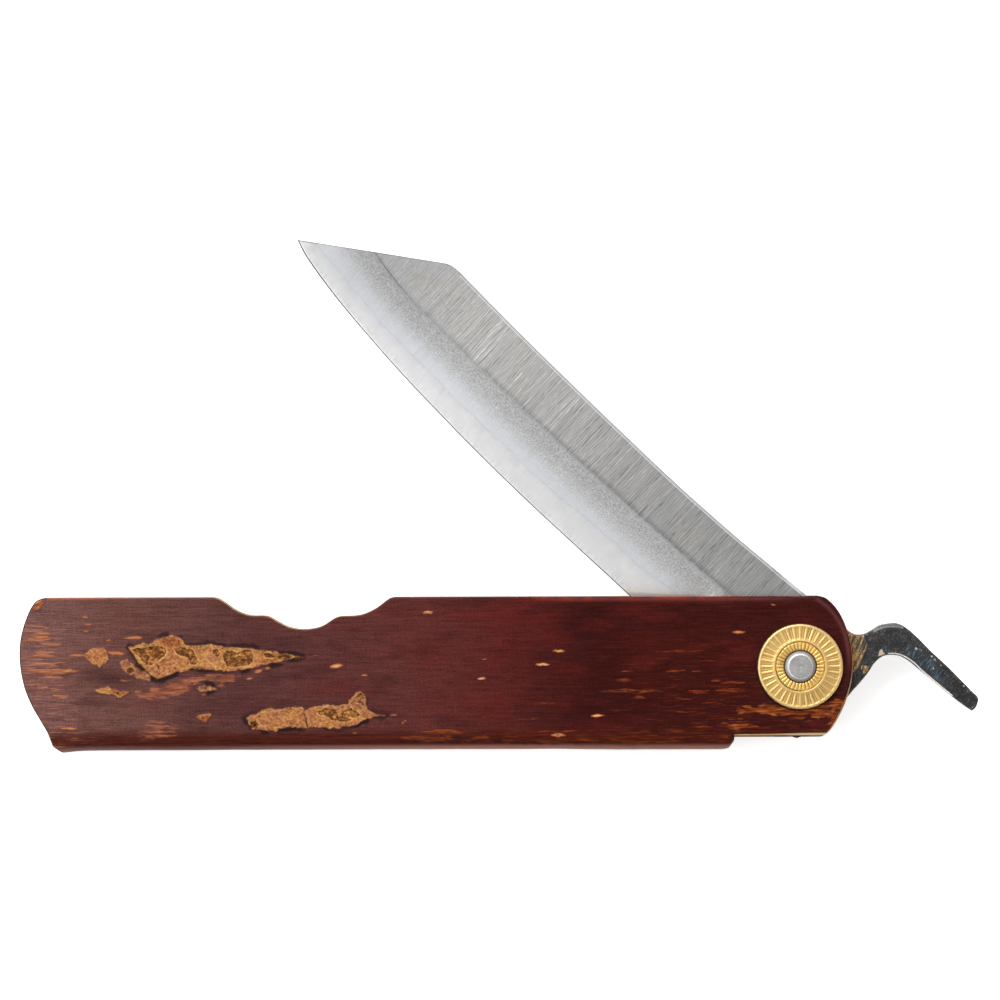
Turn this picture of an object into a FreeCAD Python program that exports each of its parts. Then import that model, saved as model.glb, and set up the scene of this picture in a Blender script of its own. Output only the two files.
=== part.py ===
import FreeCAD, Part
import math
import os

# Folding pocket knife: folded brass handle wrapped in bark, laminated blade
# with a thumb lever, one riveted pivot.  Millimetres.
#
# Frame: the knife lies on its side.  The pivot axis is Z through the origin,
# Z = 0 is the flat end of the back rivet head, +X runs along the handle towards
# the pivot end, +Y points to the open side of the handle.  The blade is drawn
# half open.

# ---------------------------------------------------------------- dimensions
BLADE_T = 3.00          # thickness of blade, tang and lever
SIDE_GAP = 0.12         # play between the tang and each brass wall
SHEET_T = 0.80          # brass sheet
BARK_T = 0.65           # bark layer
BARK_INSET = 0.12       # bark stands back from the brass edges by this much

TOP_Y = 9.00            # open edge of the handle
BACK_Y = -10.53         # outside of the folded back
CUT_Y = -9.07           # edge of the walls where the back is cut away
FOLD_END_X = -8.45      # pivot-side end of the folded back
FOLD_R = 1.80           # outside corner radius of the fold, over the bark

PIN_R = 1.50            # rivet shank
PIN_PLAY = 0.05         # radial play of the blade on the rivet
HEAD_R = 1.97           # rivet head
HEAD_FLAT_R = 1.35      # flat on the head
HEAD_TOP = 1.20         # head above the bark
HEAD_SHOULDER = 0.88    # where the head's rounding starts, above the bark

WASHER_R = 5.50
WASHER_H = 0.90         # highest ring of the washer above the bark
WASHER_SEAT = 0.45      # sunken centre under the rivet head
WASHER_SEAT_R = 3.10    # radius of the sunken centre

BLADE_ANGLE = 136.7     # direction of the blade in the drawn pose, degrees
EDGE_T = 0.08           # thickness left at the cutting edge
BEVEL_BULGE = 0.06      # slight convexity of the bevel
BEVEL_START = 13.0      # start of the bevel, from the pivot
CORE_T = 1.24           # hard-steel core
CORE_DEPTH = 6.2        # how deep the core sits, from the edge
CORE_START = 16.0

# ------------------------------------------------------------ derived sizes
HALF_BLADE = BLADE_T / 2
HALF_IN = HALF_BLADE + SIDE_GAP
HALF_BRASS = HALF_IN + SHEET_T
HALF_BARK = HALF_BRASS + BARK_T
MID_Z = HALF_BARK + HEAD_TOP

os.makedirs("parts", exist_ok=True)
Vec = FreeCAD.Vector


def spline(points):
    curve = Part.BSplineCurve()
    curve.interpolate([Vec(x, y, 0) for x, y in points])
    return curve.toShape()


def line(a, b):
    return Part.LineSegment(Vec(a[0], a[1], 0), Vec(b[0], b[1], 0)).toShape()


def arc(a, m, b):
    return Part.Arc(Vec(a[0], a[1], 0), Vec(m[0], m[1], 0), Vec(b[0], b[1], 0)).toShape()


def prism(edges, z0, z1):
    face = Part.Face(Part.Wire(Part.__sortEdges__(edges)))
    face.translate(Vec(0, 0, z0))
    return face.extrude(Vec(0, 0, z1 - z0))


def cylinder(x, y, r, z0, z1):
    return Part.makeCylinder(r, z1 - z0, Vec(x, y, z0), Vec(0, 0, 1))


def box(x0, x1, y0, y1, z0, z1):
    return Part.makeBox(x1 - x0, y1 - y0, z1 - z0, Vec(x0, y0, z0))


def one_solid(shape):
    shape = shape.removeSplitter()
    solids = shape.Solids
    if len(solids) != 1:
        raise RuntimeError("expected one solid, got %d" % len(solids))
    return solids[0]


# ------------------------------------------------------------------- handle
RIGHT_END = [(2.40, 9.00), (3.15, 8.87), (4.18, 8.08), (5.20, 6.70), (6.05, 4.72),
             (6.60, 2.50), (6.79, 0.30), (6.60, -2.00), (6.03, -4.15), (5.39, -5.69),
             (4.56, -7.23), (3.70, -8.42), (2.60, -9.07)]
LEFT_END = [(-95.20, -10.53), (-95.94, -10.22), (-96.31, -9.52), (-96.91, -7.97),
            (-98.29, -5.66), (-99.40, -3.34), (-100.06, -1.02), (-100.33, 1.70),
            (-100.21, 3.60), (-99.63, 5.91), (-98.60, 8.15), (-97.90, 8.80), (-96.80, 9.00)]
# finger notch: one stepped hollow in the open edge, a deep bay between two ledges
NOTCH = [(-75.55, 9.02), (-75.00, 8.94), (-74.46, 8.70), (-73.95, 8.38), (-73.43, 7.99), (-72.92, 7.61),
         (-72.41, 7.30), (-71.90, 7.06), (-71.38, 6.88), (-70.87, 6.75), (-70.35, 6.69), (-69.60, 6.68),
         (-68.81, 6.66), (-68.30, 6.54), (-67.79, 6.29), (-67.27, 5.97), (-66.76, 5.67), (-66.25, 5.40),
         (-65.73, 5.19), (-65.22, 5.05), (-64.71, 4.96), (-64.19, 4.91), (-63.68, 4.90), (-63.16, 4.93),
         (-62.65, 4.99), (-62.14, 5.09), (-61.62, 5.25), (-61.11, 5.50), (-60.59, 5.84), (-60.08, 6.19),
         (-59.56, 6.45), (-59.05, 6.58), (-58.53, 6.61), (-57.50, 6.62), (-56.99, 6.66), (-56.48, 6.75),
         (-55.96, 6.90), (-55.45, 7.11), (-54.93, 7.36), (-54.42, 7.66), (-53.90, 8.03), (-53.39, 8.43),
         (-52.87, 8.80), (-52.40, 8.97), (-52.00, 9.02)]


def inset(points, centre, d):
    out = []
    for x, y in points:
        dx, dy = centre[0] - x, centre[1] - y
        n = math.hypot(dx, dy)
        out.append((x + d * dx / n, y + d * dy / n))
    return out


def handle_outline(d):
    """Outline of a side wall, drawn in by d from its edges."""
    top = TOP_Y - d
    cut = CUT_Y + d
    right = inset(RIGHT_END, (-2.0, 0.0), d)
    right[0] = (RIGHT_END[0][0], top)
    right[-1] = (RIGHT_END[-1][0], cut)
    left = inset(LEFT_END, (-92.0, -0.5), d)
    left[0] = (LEFT_END[0][0] + d, BACK_Y)
    left[-1] = (LEFT_END[-1][0] + d, top)
    fx = FOLD_END_X - d
    fold_a, fold_m, fold_b = (fx, cut), (fx - 0.24, -9.95), (fx - 1.15, BACK_Y)
    below = BACK_Y - 1.0
    return [
        line(left[-1], right[0]),
        spline(right),
        line(right[-1], fold_a),
        arc(fold_a, fold_m, fold_b),
        line(fold_b, (fold_b[0], below)),
        line((fold_b[0], below), (left[0][0], below)),
        line((left[0][0], below), left[0]),
        spline(left),
    ]


def bottom_filleted(half, y0, r):
    """Long bar with its two lower long edges rounded."""
    bar = box(-104, 10, y0, 30, -half, half)
    edges = [e for e in bar.Edges
             if abs(e.CenterOfMass.y - y0) < 1e-6 and abs(abs(e.CenterOfMass.z) - half) < 1e-6]
    return bar.makeFillet(r, edges)


core_bar = bottom_filleted(HALF_IN, BACK_Y + BARK_T + SHEET_T, FOLD_R - BARK_T - SHEET_T)
brass_bar = bottom_filleted(HALF_BRASS, BACK_Y + BARK_T, FOLD_R - BARK_T)
bark_bar = bottom_filleted(HALF_BARK, BACK_Y, FOLD_R)

pin_hole = cylinder(0, 0, PIN_R, -20, 20)


def notch_cut(d):
    pts = [(x, y - d) for x, y in NOTCH]
    a, b = (pts[0][0], 14.0), (pts[-1][0], 14.0)
    return prism([spline(pts), line(pts[-1], b), line(b, a), line(a, pts[0])], -20, 20)


handle_channel = brass_bar.cut(core_bar).common(prism(handle_outline(0.0), -20, 20))
handle_channel = handle_channel.cut(notch_cut(0.0)).cut(pin_hole)
# where the back is cut away the walls are filed flat inside, clear of the tang
handle_channel = handle_channel.cut(box(FOLD_END_X, 10, -12, 0, -HALF_IN, HALF_IN))
bark_wrap = bark_bar.cut(brass_bar).common(prism(handle_outline(BARK_INSET), -20, 20))
bark_wrap = bark_wrap.cut(notch_cut(BARK_INSET)).cut(pin_hole)

# ------------------------------------------------------------ washers, rivet
def lathe(points_or_edges, up):
    """Revolve a closed profile given as (radius, height) edges about the pivot axis."""
    face = Part.Face(Part.Wire(points_or_edges))
    solid = face.revolve(Vec(0, 0, 0), Vec(0, 0, 1), 360)
    if not up:
        solid = solid.mirror(Vec(0, 0, 0), Vec(0, 0, 1))
    return solid


def rz(r, z):
    return Vec(r, 0, z)


def seg(a, b):
    return Part.LineSegment(a, b).toShape()


def arc3(a, m, b):
    return Part.Arc(a, m, b).toShape()


B = HALF_BARK
W = [rz(PIN_R, B), rz(WASHER_R - 0.15, B), rz(WASHER_R, B + 0.15), rz(WASHER_R, B + 0.42),
     rz(WASHER_R - 0.34, B + 0.80), rz(WASHER_R - 0.55, B + 0.74), rz(3.60, B + 0.87),
     rz(3.40, B + WASHER_H), rz(WASHER_SEAT_R + 0.12, B + WASHER_H - 0.06),
     rz(WASHER_SEAT_R, B + WASHER_SEAT), rz(PIN_R, B + WASHER_SEAT)]
washer_edges = [seg(W[0], W[1]),
                arc3(W[1], rz(WASHER_R - 0.045, B + 0.045), W[2]),
                seg(W[2], W[3]),
                arc3(W[3], rz(WASHER_R - 0.10, B + 0.69), W[4]),
                seg(W[4], W[5]), seg(W[5], W[6]), seg(W[6], W[7]), seg(W[7], W[8]),
                seg(W[8], W[9]), seg(W[9], W[10]), seg(W[10], W[0])]
washer_front = lathe(washer_edges, True)
washer_back = lathe(washer_edges, False)

seat = B + WASHER_SEAT
top = B + HEAD_TOP
sh = B + HEAD_SHOULDER
R = [rz(0, -top), rz(HEAD_FLAT_R, -top), rz(HEAD_R, -sh), rz(HEAD_R - 0.06, -seat), rz(PIN_R, -seat),
     rz(PIN_R, seat), rz(HEAD_R - 0.06, seat), rz(HEAD_R, sh), rz(HEAD_FLAT_R, top), rz(0, top)]
bend = rz(HEAD_FLAT_R + 0.43, sh + 0.20)
rivet_edges = [seg(R[0], R[1]), arc3(R[1], rz(bend.x, -bend.z), R[2]), seg(R[2], R[3]), seg(R[3], R[4]),
               seg(R[4], R[5]), seg(R[5], R[6]), seg(R[6], R[7]), arc3(R[7], bend, R[8]),
               seg(R[8], R[9]), seg(R[9], R[0])]
pivot_rivet = lathe(rivet_edges, True)

# -------------------------------------------------------------------- blade
ca, sa = math.cos(math.radians(BLADE_ANGLE)), math.sin(math.radians(BLADE_ANGLE))


def uv(u, v):
    """Blade frame to handle frame: u from the pivot to the tip, v from edge to spine."""
    return (u * ca + v * sa, u * sa - v * ca)


# cutting edge, spine and bevel ridge in the blade frame
EDGE = [(16.0, -8.37), (20.0, -8.36), (25.08, -8.38), (29.64, -8.43), (34.2, -8.48), (38.73, -8.50),
        (43.21, -8.46), (47.62, -8.37), (51.97, -8.22), (56.25, -8.01), (60.52, -7.78), (64.7, -7.47),
        (68.78, -7.07), (72.82, -6.63), (76.75, -6.09), (80.54, -5.41), (83.0, -4.83), (84.52, -4.22)]
SPINE = [(5.2, 7.28), (7.82, 7.09), (12.62, 6.82), (17.41, 6.55), (22.08, 6.40), (26.72, 6.29),
         (31.25, 6.27), (35.69, 6.31), (40.21, 6.35), (44.61, 6.42), (49.05, 6.50), (53.46, 6.60),
         (57.8, 6.74), (62.14, 6.90), (66.6, 7.10)]
CLIP_CORNER = [(66.6, 7.10), (67.75, 7.02), (68.55, 6.66)]
TIP = (84.52, -4.22)


def edge_v(u):
    pts = [(10.0, -8.37)] + EDGE[:-1] + [(85.0, -4.05), (87.0, -3.0), (92.0, 0.5)]
    for (u0, v0), (u1, v1) in zip(pts, pts[1:]):
        if u <= u1:
            return v0 + (v1 - v0) * (u - u0) / (u1 - u0)
    return pts[-1][1]


def ridge_v(u):
    return 0.0006 * (u - 47.0) ** 2


# heel and underside of the tang, blade frame
HEEL = [(16.0, -8.37), (14.2, -8.55), (12.0, -8.80), (8.0, -8.86), (3.0, -8.86), (-1.0, -8.55),
        (-4.0, -7.95), (-6.03, -6.91)]
# back of the tang into the lever, handle frame, drawn pose
LEVER_LOW = [uv(*HEEL[-1]), (2.30, -8.35), (4.30, -6.45), (5.70, -4.62), (6.72, -3.33), (7.75, -2.20),
             (8.78, -0.93), (9.81, 0.53), (10.84, 1.27), (11.87, 1.39), (12.90, 1.25), (13.93, 0.72),
             (15.46, -0.52), (17.51, -2.22), (19.57, -3.92), (21.62, -5.46), (22.13, -5.80)]
LEVER_TIP = [(22.13, -5.80), (22.62, -5.45), (22.92, -4.62), (22.84, -3.94), (22.40, -3.50)]
LEVER_TOP = [(22.40, -3.50), (21.11, -2.14), (19.06, -0.12), (17.01, 1.79), (14.96, 3.85), (13.94, 4.74),
             (12.91, 5.36), (12.14, 5.56), (11.37, 5.46), (10.34, 5.26), (9.31, 4.67), (8.28, 4.11),
             (7.25, 4.06), (6.30, 4.30), (5.10, 4.90), (3.60, 6.10), (1.90, 7.70), uv(*SPINE[0])]

plan = [
    spline([uv(*p) for p in SPINE]),
    arc(*[uv(*p) for p in CLIP_CORNER]),
    line(uv(*CLIP_CORNER[-1]), uv(*TIP)),
    spline([uv(*p) for p in reversed(EDGE)]),
    spline([uv(*p) for p in HEEL]),
    spline(LEVER_LOW),
    spline(LEVER_TIP),
    spline(LEVER_TOP),
]
forging = prism(plan, -HALF_BLADE, HALF_BLADE)


def section(u):
    """Waste above the bevel, cut across the blade at u."""
    vr, ve = ridge_v(u), edge_v(u)
    z0, z1 = HALF_BLADE, EDGE_T / 2
    mid = ((vr + ve) / 2, (z0 + z1) / 2 + BEVEL_BULGE)

    def at(v, z):
        x, y = uv(u, v)
        return Vec(x, y, z)
    a, m, b = at(vr, z0), at(*mid), at(ve, z1)
    c, d, e = at(ve - 3.0, z1), at(ve - 3.0, z0 + 1.5), at(vr, z0 + 1.5)
    return Part.Wire([arc3(a, m, b), seg(b, c), seg(c, d), seg(d, e), seg(e, a)])


stations = [BEVEL_START, 20, 27, 34, 41, 48, 55, 62, 68, 74, 79, 83, 87]
waste = Part.makeLoft([section(u) for u in stations], True, False)
forging = forging.cut(waste).cut(waste.mirror(Vec(0, 0, 0), Vec(0, 0, 1)))
forging = forging.cut(cylinder(0, 0, PIN_R + PIN_PLAY, -20, 20))

# hard-steel core: a slab set into the split edge
inner = [(u, edge_v(u) + CORE_DEPTH) for u in (CORE_START, 24, 32, 40, 48, 56, 64, 72, 80, 88)]
outer = [(90.0, -14.0), (CORE_START, -14.0)]
core_plan = [spline([uv(*p) for p in inner]), line(uv(*inner[-1]), uv(*outer[0])),
             line(uv(*outer[0]), uv(*outer[1])), line(uv(*outer[1]), uv(*inner[0]))]
slab = prism(core_plan, -CORE_T / 2, CORE_T / 2)
blade_edge_core = forging.common(slab)
blade_body = forging.cut(slab)

# ------------------------------------------------------------------- export
parts = {
    "handle_channel": handle_channel,
    "bark_wrap": bark_wrap,
    "washer_front": washer_front,
    "washer_back": washer_back,
    "pivot_rivet": pivot_rivet,
    "blade_body": blade_body,
    "blade_edge_core": blade_edge_core,
}
for name, shape in parts.items():
    solid = one_solid(shape)
    solid.translate(Vec(0, 0, MID_Z))
    bb = solid.optimalBoundingBox()
    print("%-16s valid %s volume %8.1f  x %7.2f..%6.2f  y %7.2f..%6.2f  z %5.2f..%5.2f"
          % (name, solid.isValid(), solid.Volume, bb.XMin, bb.XMax, bb.YMin, bb.YMax, bb.ZMin, bb.ZMax))
    solid.exportStep("parts/%s.step" % name)
print("mid plane z %.3f" % MID_Z)
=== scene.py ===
import math

import bmesh
import bpy
import numpy as np
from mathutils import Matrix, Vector
from mathutils.geometry import delaunay_2d_cdt


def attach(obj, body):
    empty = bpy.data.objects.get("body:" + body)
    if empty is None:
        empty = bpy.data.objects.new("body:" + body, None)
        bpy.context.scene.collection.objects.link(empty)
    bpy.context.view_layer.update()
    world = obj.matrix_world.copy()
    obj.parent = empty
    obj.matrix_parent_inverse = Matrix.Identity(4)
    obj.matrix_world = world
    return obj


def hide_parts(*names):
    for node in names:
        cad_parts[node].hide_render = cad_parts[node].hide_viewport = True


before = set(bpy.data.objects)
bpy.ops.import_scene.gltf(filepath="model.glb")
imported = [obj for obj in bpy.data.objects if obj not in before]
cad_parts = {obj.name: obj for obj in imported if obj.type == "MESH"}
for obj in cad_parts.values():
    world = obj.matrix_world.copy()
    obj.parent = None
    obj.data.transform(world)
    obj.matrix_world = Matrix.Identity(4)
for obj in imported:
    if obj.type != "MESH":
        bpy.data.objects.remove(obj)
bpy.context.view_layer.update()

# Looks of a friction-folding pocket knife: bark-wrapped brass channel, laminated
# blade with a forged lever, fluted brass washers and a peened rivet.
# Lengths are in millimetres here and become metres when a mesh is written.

MM = 0.001
MID_Z = 4.27            # middle plane of the knife above the table
FACE = 3.07             # half width over the bark
BARK_T = 0.64           # bark sheet
BLADE_H = 1.5           # half thickness of the forging

# ------------------------------------------------------------------ helpers


def sstep(a, b, x):
    t = np.clip((np.asarray(x, float) - a) / (b - a), 0.0, 1.0)
    return t * t * (3 - 2 * t)


def lattice(ix, iy, seed):
    h = (ix.astype(np.int64) * 374761393 + iy.astype(np.int64) * 668265263 + seed * 974711) & 0xFFFFFFFF
    h = ((h ^ (h >> 13)) * 1274126177) & 0xFFFFFFFF
    h = h ^ (h >> 16)
    return (h & 0xFFFF) / 32767.5 - 1.0


def vnoise(x, y, seed=0):
    x = np.asarray(x, float)
    y = np.asarray(y, float)
    x0, y0 = np.floor(x), np.floor(y)
    fx, fy = x - x0, y - y0
    fx = fx * fx * fx * (fx * (6 * fx - 15) + 10)
    fy = fy * fy * fy * (fy * (6 * fy - 15) + 10)
    a, b = lattice(x0, y0, seed), lattice(x0 + 1, y0, seed)
    c, d = lattice(x0, y0 + 1, seed), lattice(x0 + 1, y0 + 1, seed)
    return (a + (b - a) * fx) * (1 - fy) + (c + (d - c) * fx) * fy


def fbm(x, y, seed=0, octaves=3):
    total, amp, norm = 0.0, 1.0, 0.0
    for k in range(octaves):
        total = total + amp * vnoise(x * 2 ** k + 17.3 * k, y * 2 ** k + 9.1 * k, seed + k)
        norm += amp
        amp *= 0.5
    return total / norm


def hermite(xs, ys, q):
    xs, ys, q = np.asarray(xs, float), np.asarray(ys, float), np.asarray(q, float)
    m = np.gradient(ys, xs)
    i = np.clip(np.searchsorted(xs, q) - 1, 0, len(xs) - 2)
    h = xs[i + 1] - xs[i]
    t = np.clip((q - xs[i]) / h, 0, 1)
    t2, t3 = t * t, t * t * t
    return ((2 * t3 - 3 * t2 + 1) * ys[i] + (t3 - 2 * t2 + t) * h * m[i]
            + (3 * t2 - 2 * t3) * ys[i + 1] + (t3 - t2) * h * m[i + 1])


def through(points, step):
    """Smooth curve through points, sampled about every step."""
    p = np.asarray(points, float)
    t = np.concatenate([[0], np.cumsum(np.hypot(*np.diff(p, axis=0).T))])
    n = max(2, int(round(t[-1] / step)))
    q = np.linspace(0, t[-1], n + 1)
    return np.stack([hermite(t, p[:, 0], q), hermite(t, p[:, 1], q)], 1)


def line_dist(x, y, pts, closed=False):
    """Distance from each (x, y) to a polyline."""
    x, y = np.asarray(x, float), np.asarray(y, float)
    p = np.asarray(pts, float)
    if closed:
        p = np.vstack([p, p[:1]])
    best = np.full(x.shape, 1e18)
    for (ax, ay), (bx, by) in zip(p[:-1], p[1:]):
        dx, dy = bx - ax, by - ay
        l2 = dx * dx + dy * dy
        if l2 < 1e-16:
            continue
        t = np.clip(((x - ax) * dx + (y - ay) * dy) / l2, 0, 1)
        best = np.minimum(best, (x - ax - t * dx) ** 2 + (y - ay - t * dy) ** 2)
    return np.sqrt(best)


def inside(x, y, pts):
    x, y = np.asarray(x, float), np.asarray(y, float)
    p = np.asarray(pts, float)
    odd = np.zeros(x.shape, bool)
    for (ax, ay), (bx, by) in zip(p, np.roll(p, -1, axis=0)):
        if ay == by:
            continue
        hit = ((ay > y) != (by > y)) & (x < (bx - ax) * (y - ay) / (by - ay) + ax)
        odd ^= hit
    return odd


def shape_dist(x, y, pts):
    """Signed distance to a closed outline, negative inside."""
    d = line_dist(x, y, pts, True)
    return np.where(inside(x, y, pts), -d, d)


def new_object(name, verts, faces, attrs=None, smooth=True, sharp=None, fix_normals=True):
    me = bpy.data.meshes.new(name)
    v = np.asarray(verts, float) * MM
    me.from_pydata(v.tolist(), [], faces)
    me.update()
    for key, val in (attrs or {}).items():
        val = np.asarray(val, float)
        if val.ndim == 2:
            a = me.attributes.new(key, "FLOAT_VECTOR", "POINT")
            a.data.foreach_set("vector", val.astype(np.float32).ravel())
        else:
            a = me.attributes.new(key, "FLOAT", "POINT")
            a.data.foreach_set("value", val.astype(np.float32))
    if fix_normals:
        bm = bmesh.new()
        bm.from_mesh(me)
        bmesh.ops.recalc_face_normals(bm, faces=bm.faces)
        bm.to_mesh(me)
        bm.free()
    me.polygons.foreach_set("use_smooth", np.full(len(me.polygons), smooth))
    if sharp is not None:
        ev = np.zeros(len(me.edges) * 2, np.int32)
        me.edges.foreach_get("vertices", ev)
        ev = ev.reshape(-1, 2)
        me.edges.foreach_set("use_edge_sharp", sharp(ev[:, 0], ev[:, 1]))
    me.update()
    ob = bpy.data.objects.new(name, me)
    bpy.context.scene.collection.objects.link(ob)
    return ob


def lin(r, g, b):
    """Display colour 0-255 to a linear RGBA."""
    def f(c):
        c /= 255.0
        return c / 12.92 if c <= 0.04045 else ((c + 0.055) / 1.055) ** 2.4
    return (f(r), f(g), f(b), 1.0)


class Mat:
    """Small helper for building a material's nodes."""

    def __init__(self, name):
        self.m = bpy.data.materials.new(name)
        self.m.use_nodes = True
        self.t = self.m.node_tree
        self.t.nodes.clear()
        self.out = self.t.nodes.new("ShaderNodeOutputMaterial")
        self.bsdf = self.t.nodes.new("ShaderNodeBsdfPrincipled")
        self.t.links.new(self.bsdf.outputs[0], self.out.inputs[0])

    def put(self, socket, value):
        if isinstance(value, bpy.types.NodeSocket):
            self.t.links.new(value, socket)
        else:
            socket.default_value = value

    def set(self, **kw):
        for k, v in kw.items():
            self.put(self.bsdf.inputs[k.replace("_", " ")], v)

    def attr(self, name, vector=False):
        n = self.t.nodes.new("ShaderNodeAttribute")
        n.attribute_name = name
        return n.outputs["Vector" if vector else "Fac"]

    def scaled(self, vec, sx, sy, sz=1.0, shift=0.0):
        n = self.t.nodes.new("ShaderNodeMapping")
        n.inputs["Scale"].default_value = (sx, sy, sz)
        n.inputs["Location"].default_value = (shift, shift * 0.37, 0)
        self.put(n.inputs["Vector"], vec)
        return n.outputs[0]

    def turned(self, vec, angle, sx, sy, sz=1.0):
        """Rotate in the plane first, then scale along the turned axes."""
        n = self.t.nodes.new("ShaderNodeMapping")
        n.inputs["Rotation"].default_value = (0, 0, -angle)
        self.put(n.inputs["Vector"], vec)
        return self.scaled(n.outputs[0], sx, sy, sz)

    def coords(self, kind="Object"):
        return self.t.nodes.new("ShaderNodeTexCoord").outputs[kind]

    def noise(self, vec, scale=1.0, detail=3.0, rough=0.55, distort=0.0):
        n = self.t.nodes.new("ShaderNodeTexNoise")
        self.put(n.inputs["Vector"], vec)
        n.inputs["Scale"].default_value = scale
        n.inputs["Detail"].default_value = detail
        n.inputs["Roughness"].default_value = rough
        n.inputs["Distortion"].default_value = distort
        return n.outputs["Fac"]

    def cells(self, vec, scale=1.0, feature="F1"):
        n = self.t.nodes.new("ShaderNodeTexVoronoi")
        n.feature = feature
        self.put(n.inputs["Vector"], vec)
        n.inputs["Scale"].default_value = scale
        return n.outputs["Distance"]

    def math(self, op, a, b=None, c=None, clamp=False):
        n = self.t.nodes.new("ShaderNodeMath")
        n.operation = op
        n.use_clamp = clamp
        self.put(n.inputs[0], a)
        if b is not None:
            self.put(n.inputs[1], b)
        if c is not None:
            self.put(n.inputs[2], c)
        return n.outputs[0]

    def mul(self, a, b):
        return self.math("MULTIPLY", a, b)

    def add(self, a, b):
        return self.math("ADD", a, b)

    def span(self, v, a, b, c=0.0, d=1.0, smooth=True):
        n = self.t.nodes.new("ShaderNodeMapRange")
        n.interpolation_type = "SMOOTHSTEP" if smooth else "LINEAR"
        self.put(n.inputs["Value"], v)
        for key, val in (("From Min", a), ("From Max", b), ("To Min", c), ("To Max", d)):
            n.inputs[key].default_value = val
        return n.outputs[0]

    def ramp(self, fac, stops, mode="LINEAR"):
        n = self.t.nodes.new("ShaderNodeValToRGB")
        n.color_ramp.interpolation = mode
        el = n.color_ramp.elements
        while len(el) < len(stops):
            el.new(0.5)
        for e, (pos, col) in zip(el, stops):
            e.position = pos
            e.color = col
        self.put(n.inputs[0], fac)
        return n.outputs["Color"]

    def mix(self, fac, a, b, mode="MIX"):
        n = self.t.nodes.new("ShaderNodeMix")
        n.data_type = "RGBA"
        n.blend_type = mode
        self.put(n.inputs[0], fac)
        self.put(n.inputs[6], a)
        self.put(n.inputs[7], b)
        return n.outputs[2]

    def shade(self, col, value):
        """Multiply a colour by a grey value."""
        n = self.t.nodes.new("ShaderNodeVectorMath")
        n.operation = "SCALE"
        self.put(n.inputs[0], col[:3] if isinstance(col, tuple) else col)
        self.put(n.inputs["Scale"], value)
        return n.outputs[0]

    def bump(self, height, strength, distance):
        n = self.t.nodes.new("ShaderNodeBump")
        n.inputs["Strength"].default_value = strength
        n.inputs["Distance"].default_value = distance
        self.put(n.inputs["Height"], height)
        self.put(self.bsdf.inputs["Normal"], n.outputs[0])


# Flat drawing grid of the front face: the pivot is at (799.65, 665.85), one unit
# is 0.1285 mm, and the grid is turned 0.16 degrees against the knife.
UNIT, GX, GY, TURN = 0.1285, 799.65, 665.85, math.radians(0.16)
TC, TS = math.cos(TURN), math.sin(TURN)


def from_grid(px, py):
    x0, y0 = (px - GX) * UNIT, (GY - py) * UNIT
    return x0 * TC + y0 * TS, -x0 * TS + y0 * TC


def to_grid(x, y):
    x0, y0 = x * TC - y * TS, x * TS + y * TC
    return GX + x0 / UNIT, GY - y0 / UNIT


# ------------------------------------------------------------------ bark

LEFT = [(-10.53, -95.45), (-10.24, -95.97), (-9.52, -96.31), (-8.74, -96.57), (-7.97, -96.91),
        (-7.20, -97.38), (-6.43, -97.83), (-5.66, -98.29), (-4.88, -98.72), (-4.11, -99.09),
        (-3.34, -99.40), (-2.57, -99.68), (-1.80, -99.88), (-1.02, -100.06), (-0.25, -100.18),
        (0.52, -100.27), (1.29, -100.32), (2.06, -100.33), (2.83, -100.29), (3.60, -100.21),
        (4.37, -100.07), (5.14, -99.87), (5.91, -99.63), (6.68, -99.33), (7.45, -98.98),
        (8.15, -98.60), (8.55, -98.28), (8.80, -97.90), (8.95, -97.35), (9.05, -96.80)]
RIGHT = [(-9.20, 2.30), (-9.07, 2.60), (-8.90, 3.08), (-8.42, 3.70), (-7.23, 4.56), (-5.69, 5.39),
         (-4.15, 6.03), (-2.00, 6.60), (0.30, 6.79), (2.50, 6.60), (4.72, 6.05), (5.75, 5.65),
         (6.70, 5.20), (7.50, 4.68), (8.08, 4.18), (8.55, 3.62), (8.87, 3.15), (9.05, 2.40)]
NOTCH = [(-75.55, 9.02), (-75.00, 8.94), (-74.46, 8.70), (-73.95, 8.38), (-73.43, 7.99), (-72.92, 7.61),
         (-72.41, 7.30), (-71.90, 7.06), (-71.38, 6.88), (-70.87, 6.75), (-70.35, 6.69), (-69.60, 6.68),
         (-68.81, 6.66), (-68.30, 6.54), (-67.79, 6.29), (-67.27, 5.97), (-66.76, 5.67), (-66.25, 5.40),
         (-65.73, 5.19), (-65.22, 5.05), (-64.71, 4.96), (-64.19, 4.91), (-63.68, 4.90), (-63.16, 4.93),
         (-62.65, 4.99), (-62.14, 5.09), (-61.62, 5.25), (-61.11, 5.50), (-60.59, 5.84), (-60.08, 6.19),
         (-59.56, 6.45), (-59.05, 6.58), (-58.53, 6.61), (-57.50, 6.62), (-56.99, 6.66), (-56.48, 6.75),
         (-55.96, 6.90), (-55.45, 7.11), (-54.93, 7.36), (-54.42, 7.66), (-53.90, 8.03), (-53.39, 8.43),
         (-52.87, 8.80), (-52.40, 8.97), (-52.00, 9.02)]
FOLD_Y, BACK_Y, FOLD_R, FOLD_X = -8.73, -10.53, 1.80, -8.50
TOP = 9.03


def x_left(y):
    a = np.array(LEFT)
    return hermite(a[:, 0], a[:, 1], y)


def x_right(y):
    a = np.array(RIGHT)
    return hermite(a[:, 0], a[:, 1], y) - (0.05 + 0.10 * sstep(3.0, -3.0, np.asarray(y)) + 0.09 * sstep(-2.5, -5.0, np.asarray(y)))


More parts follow.
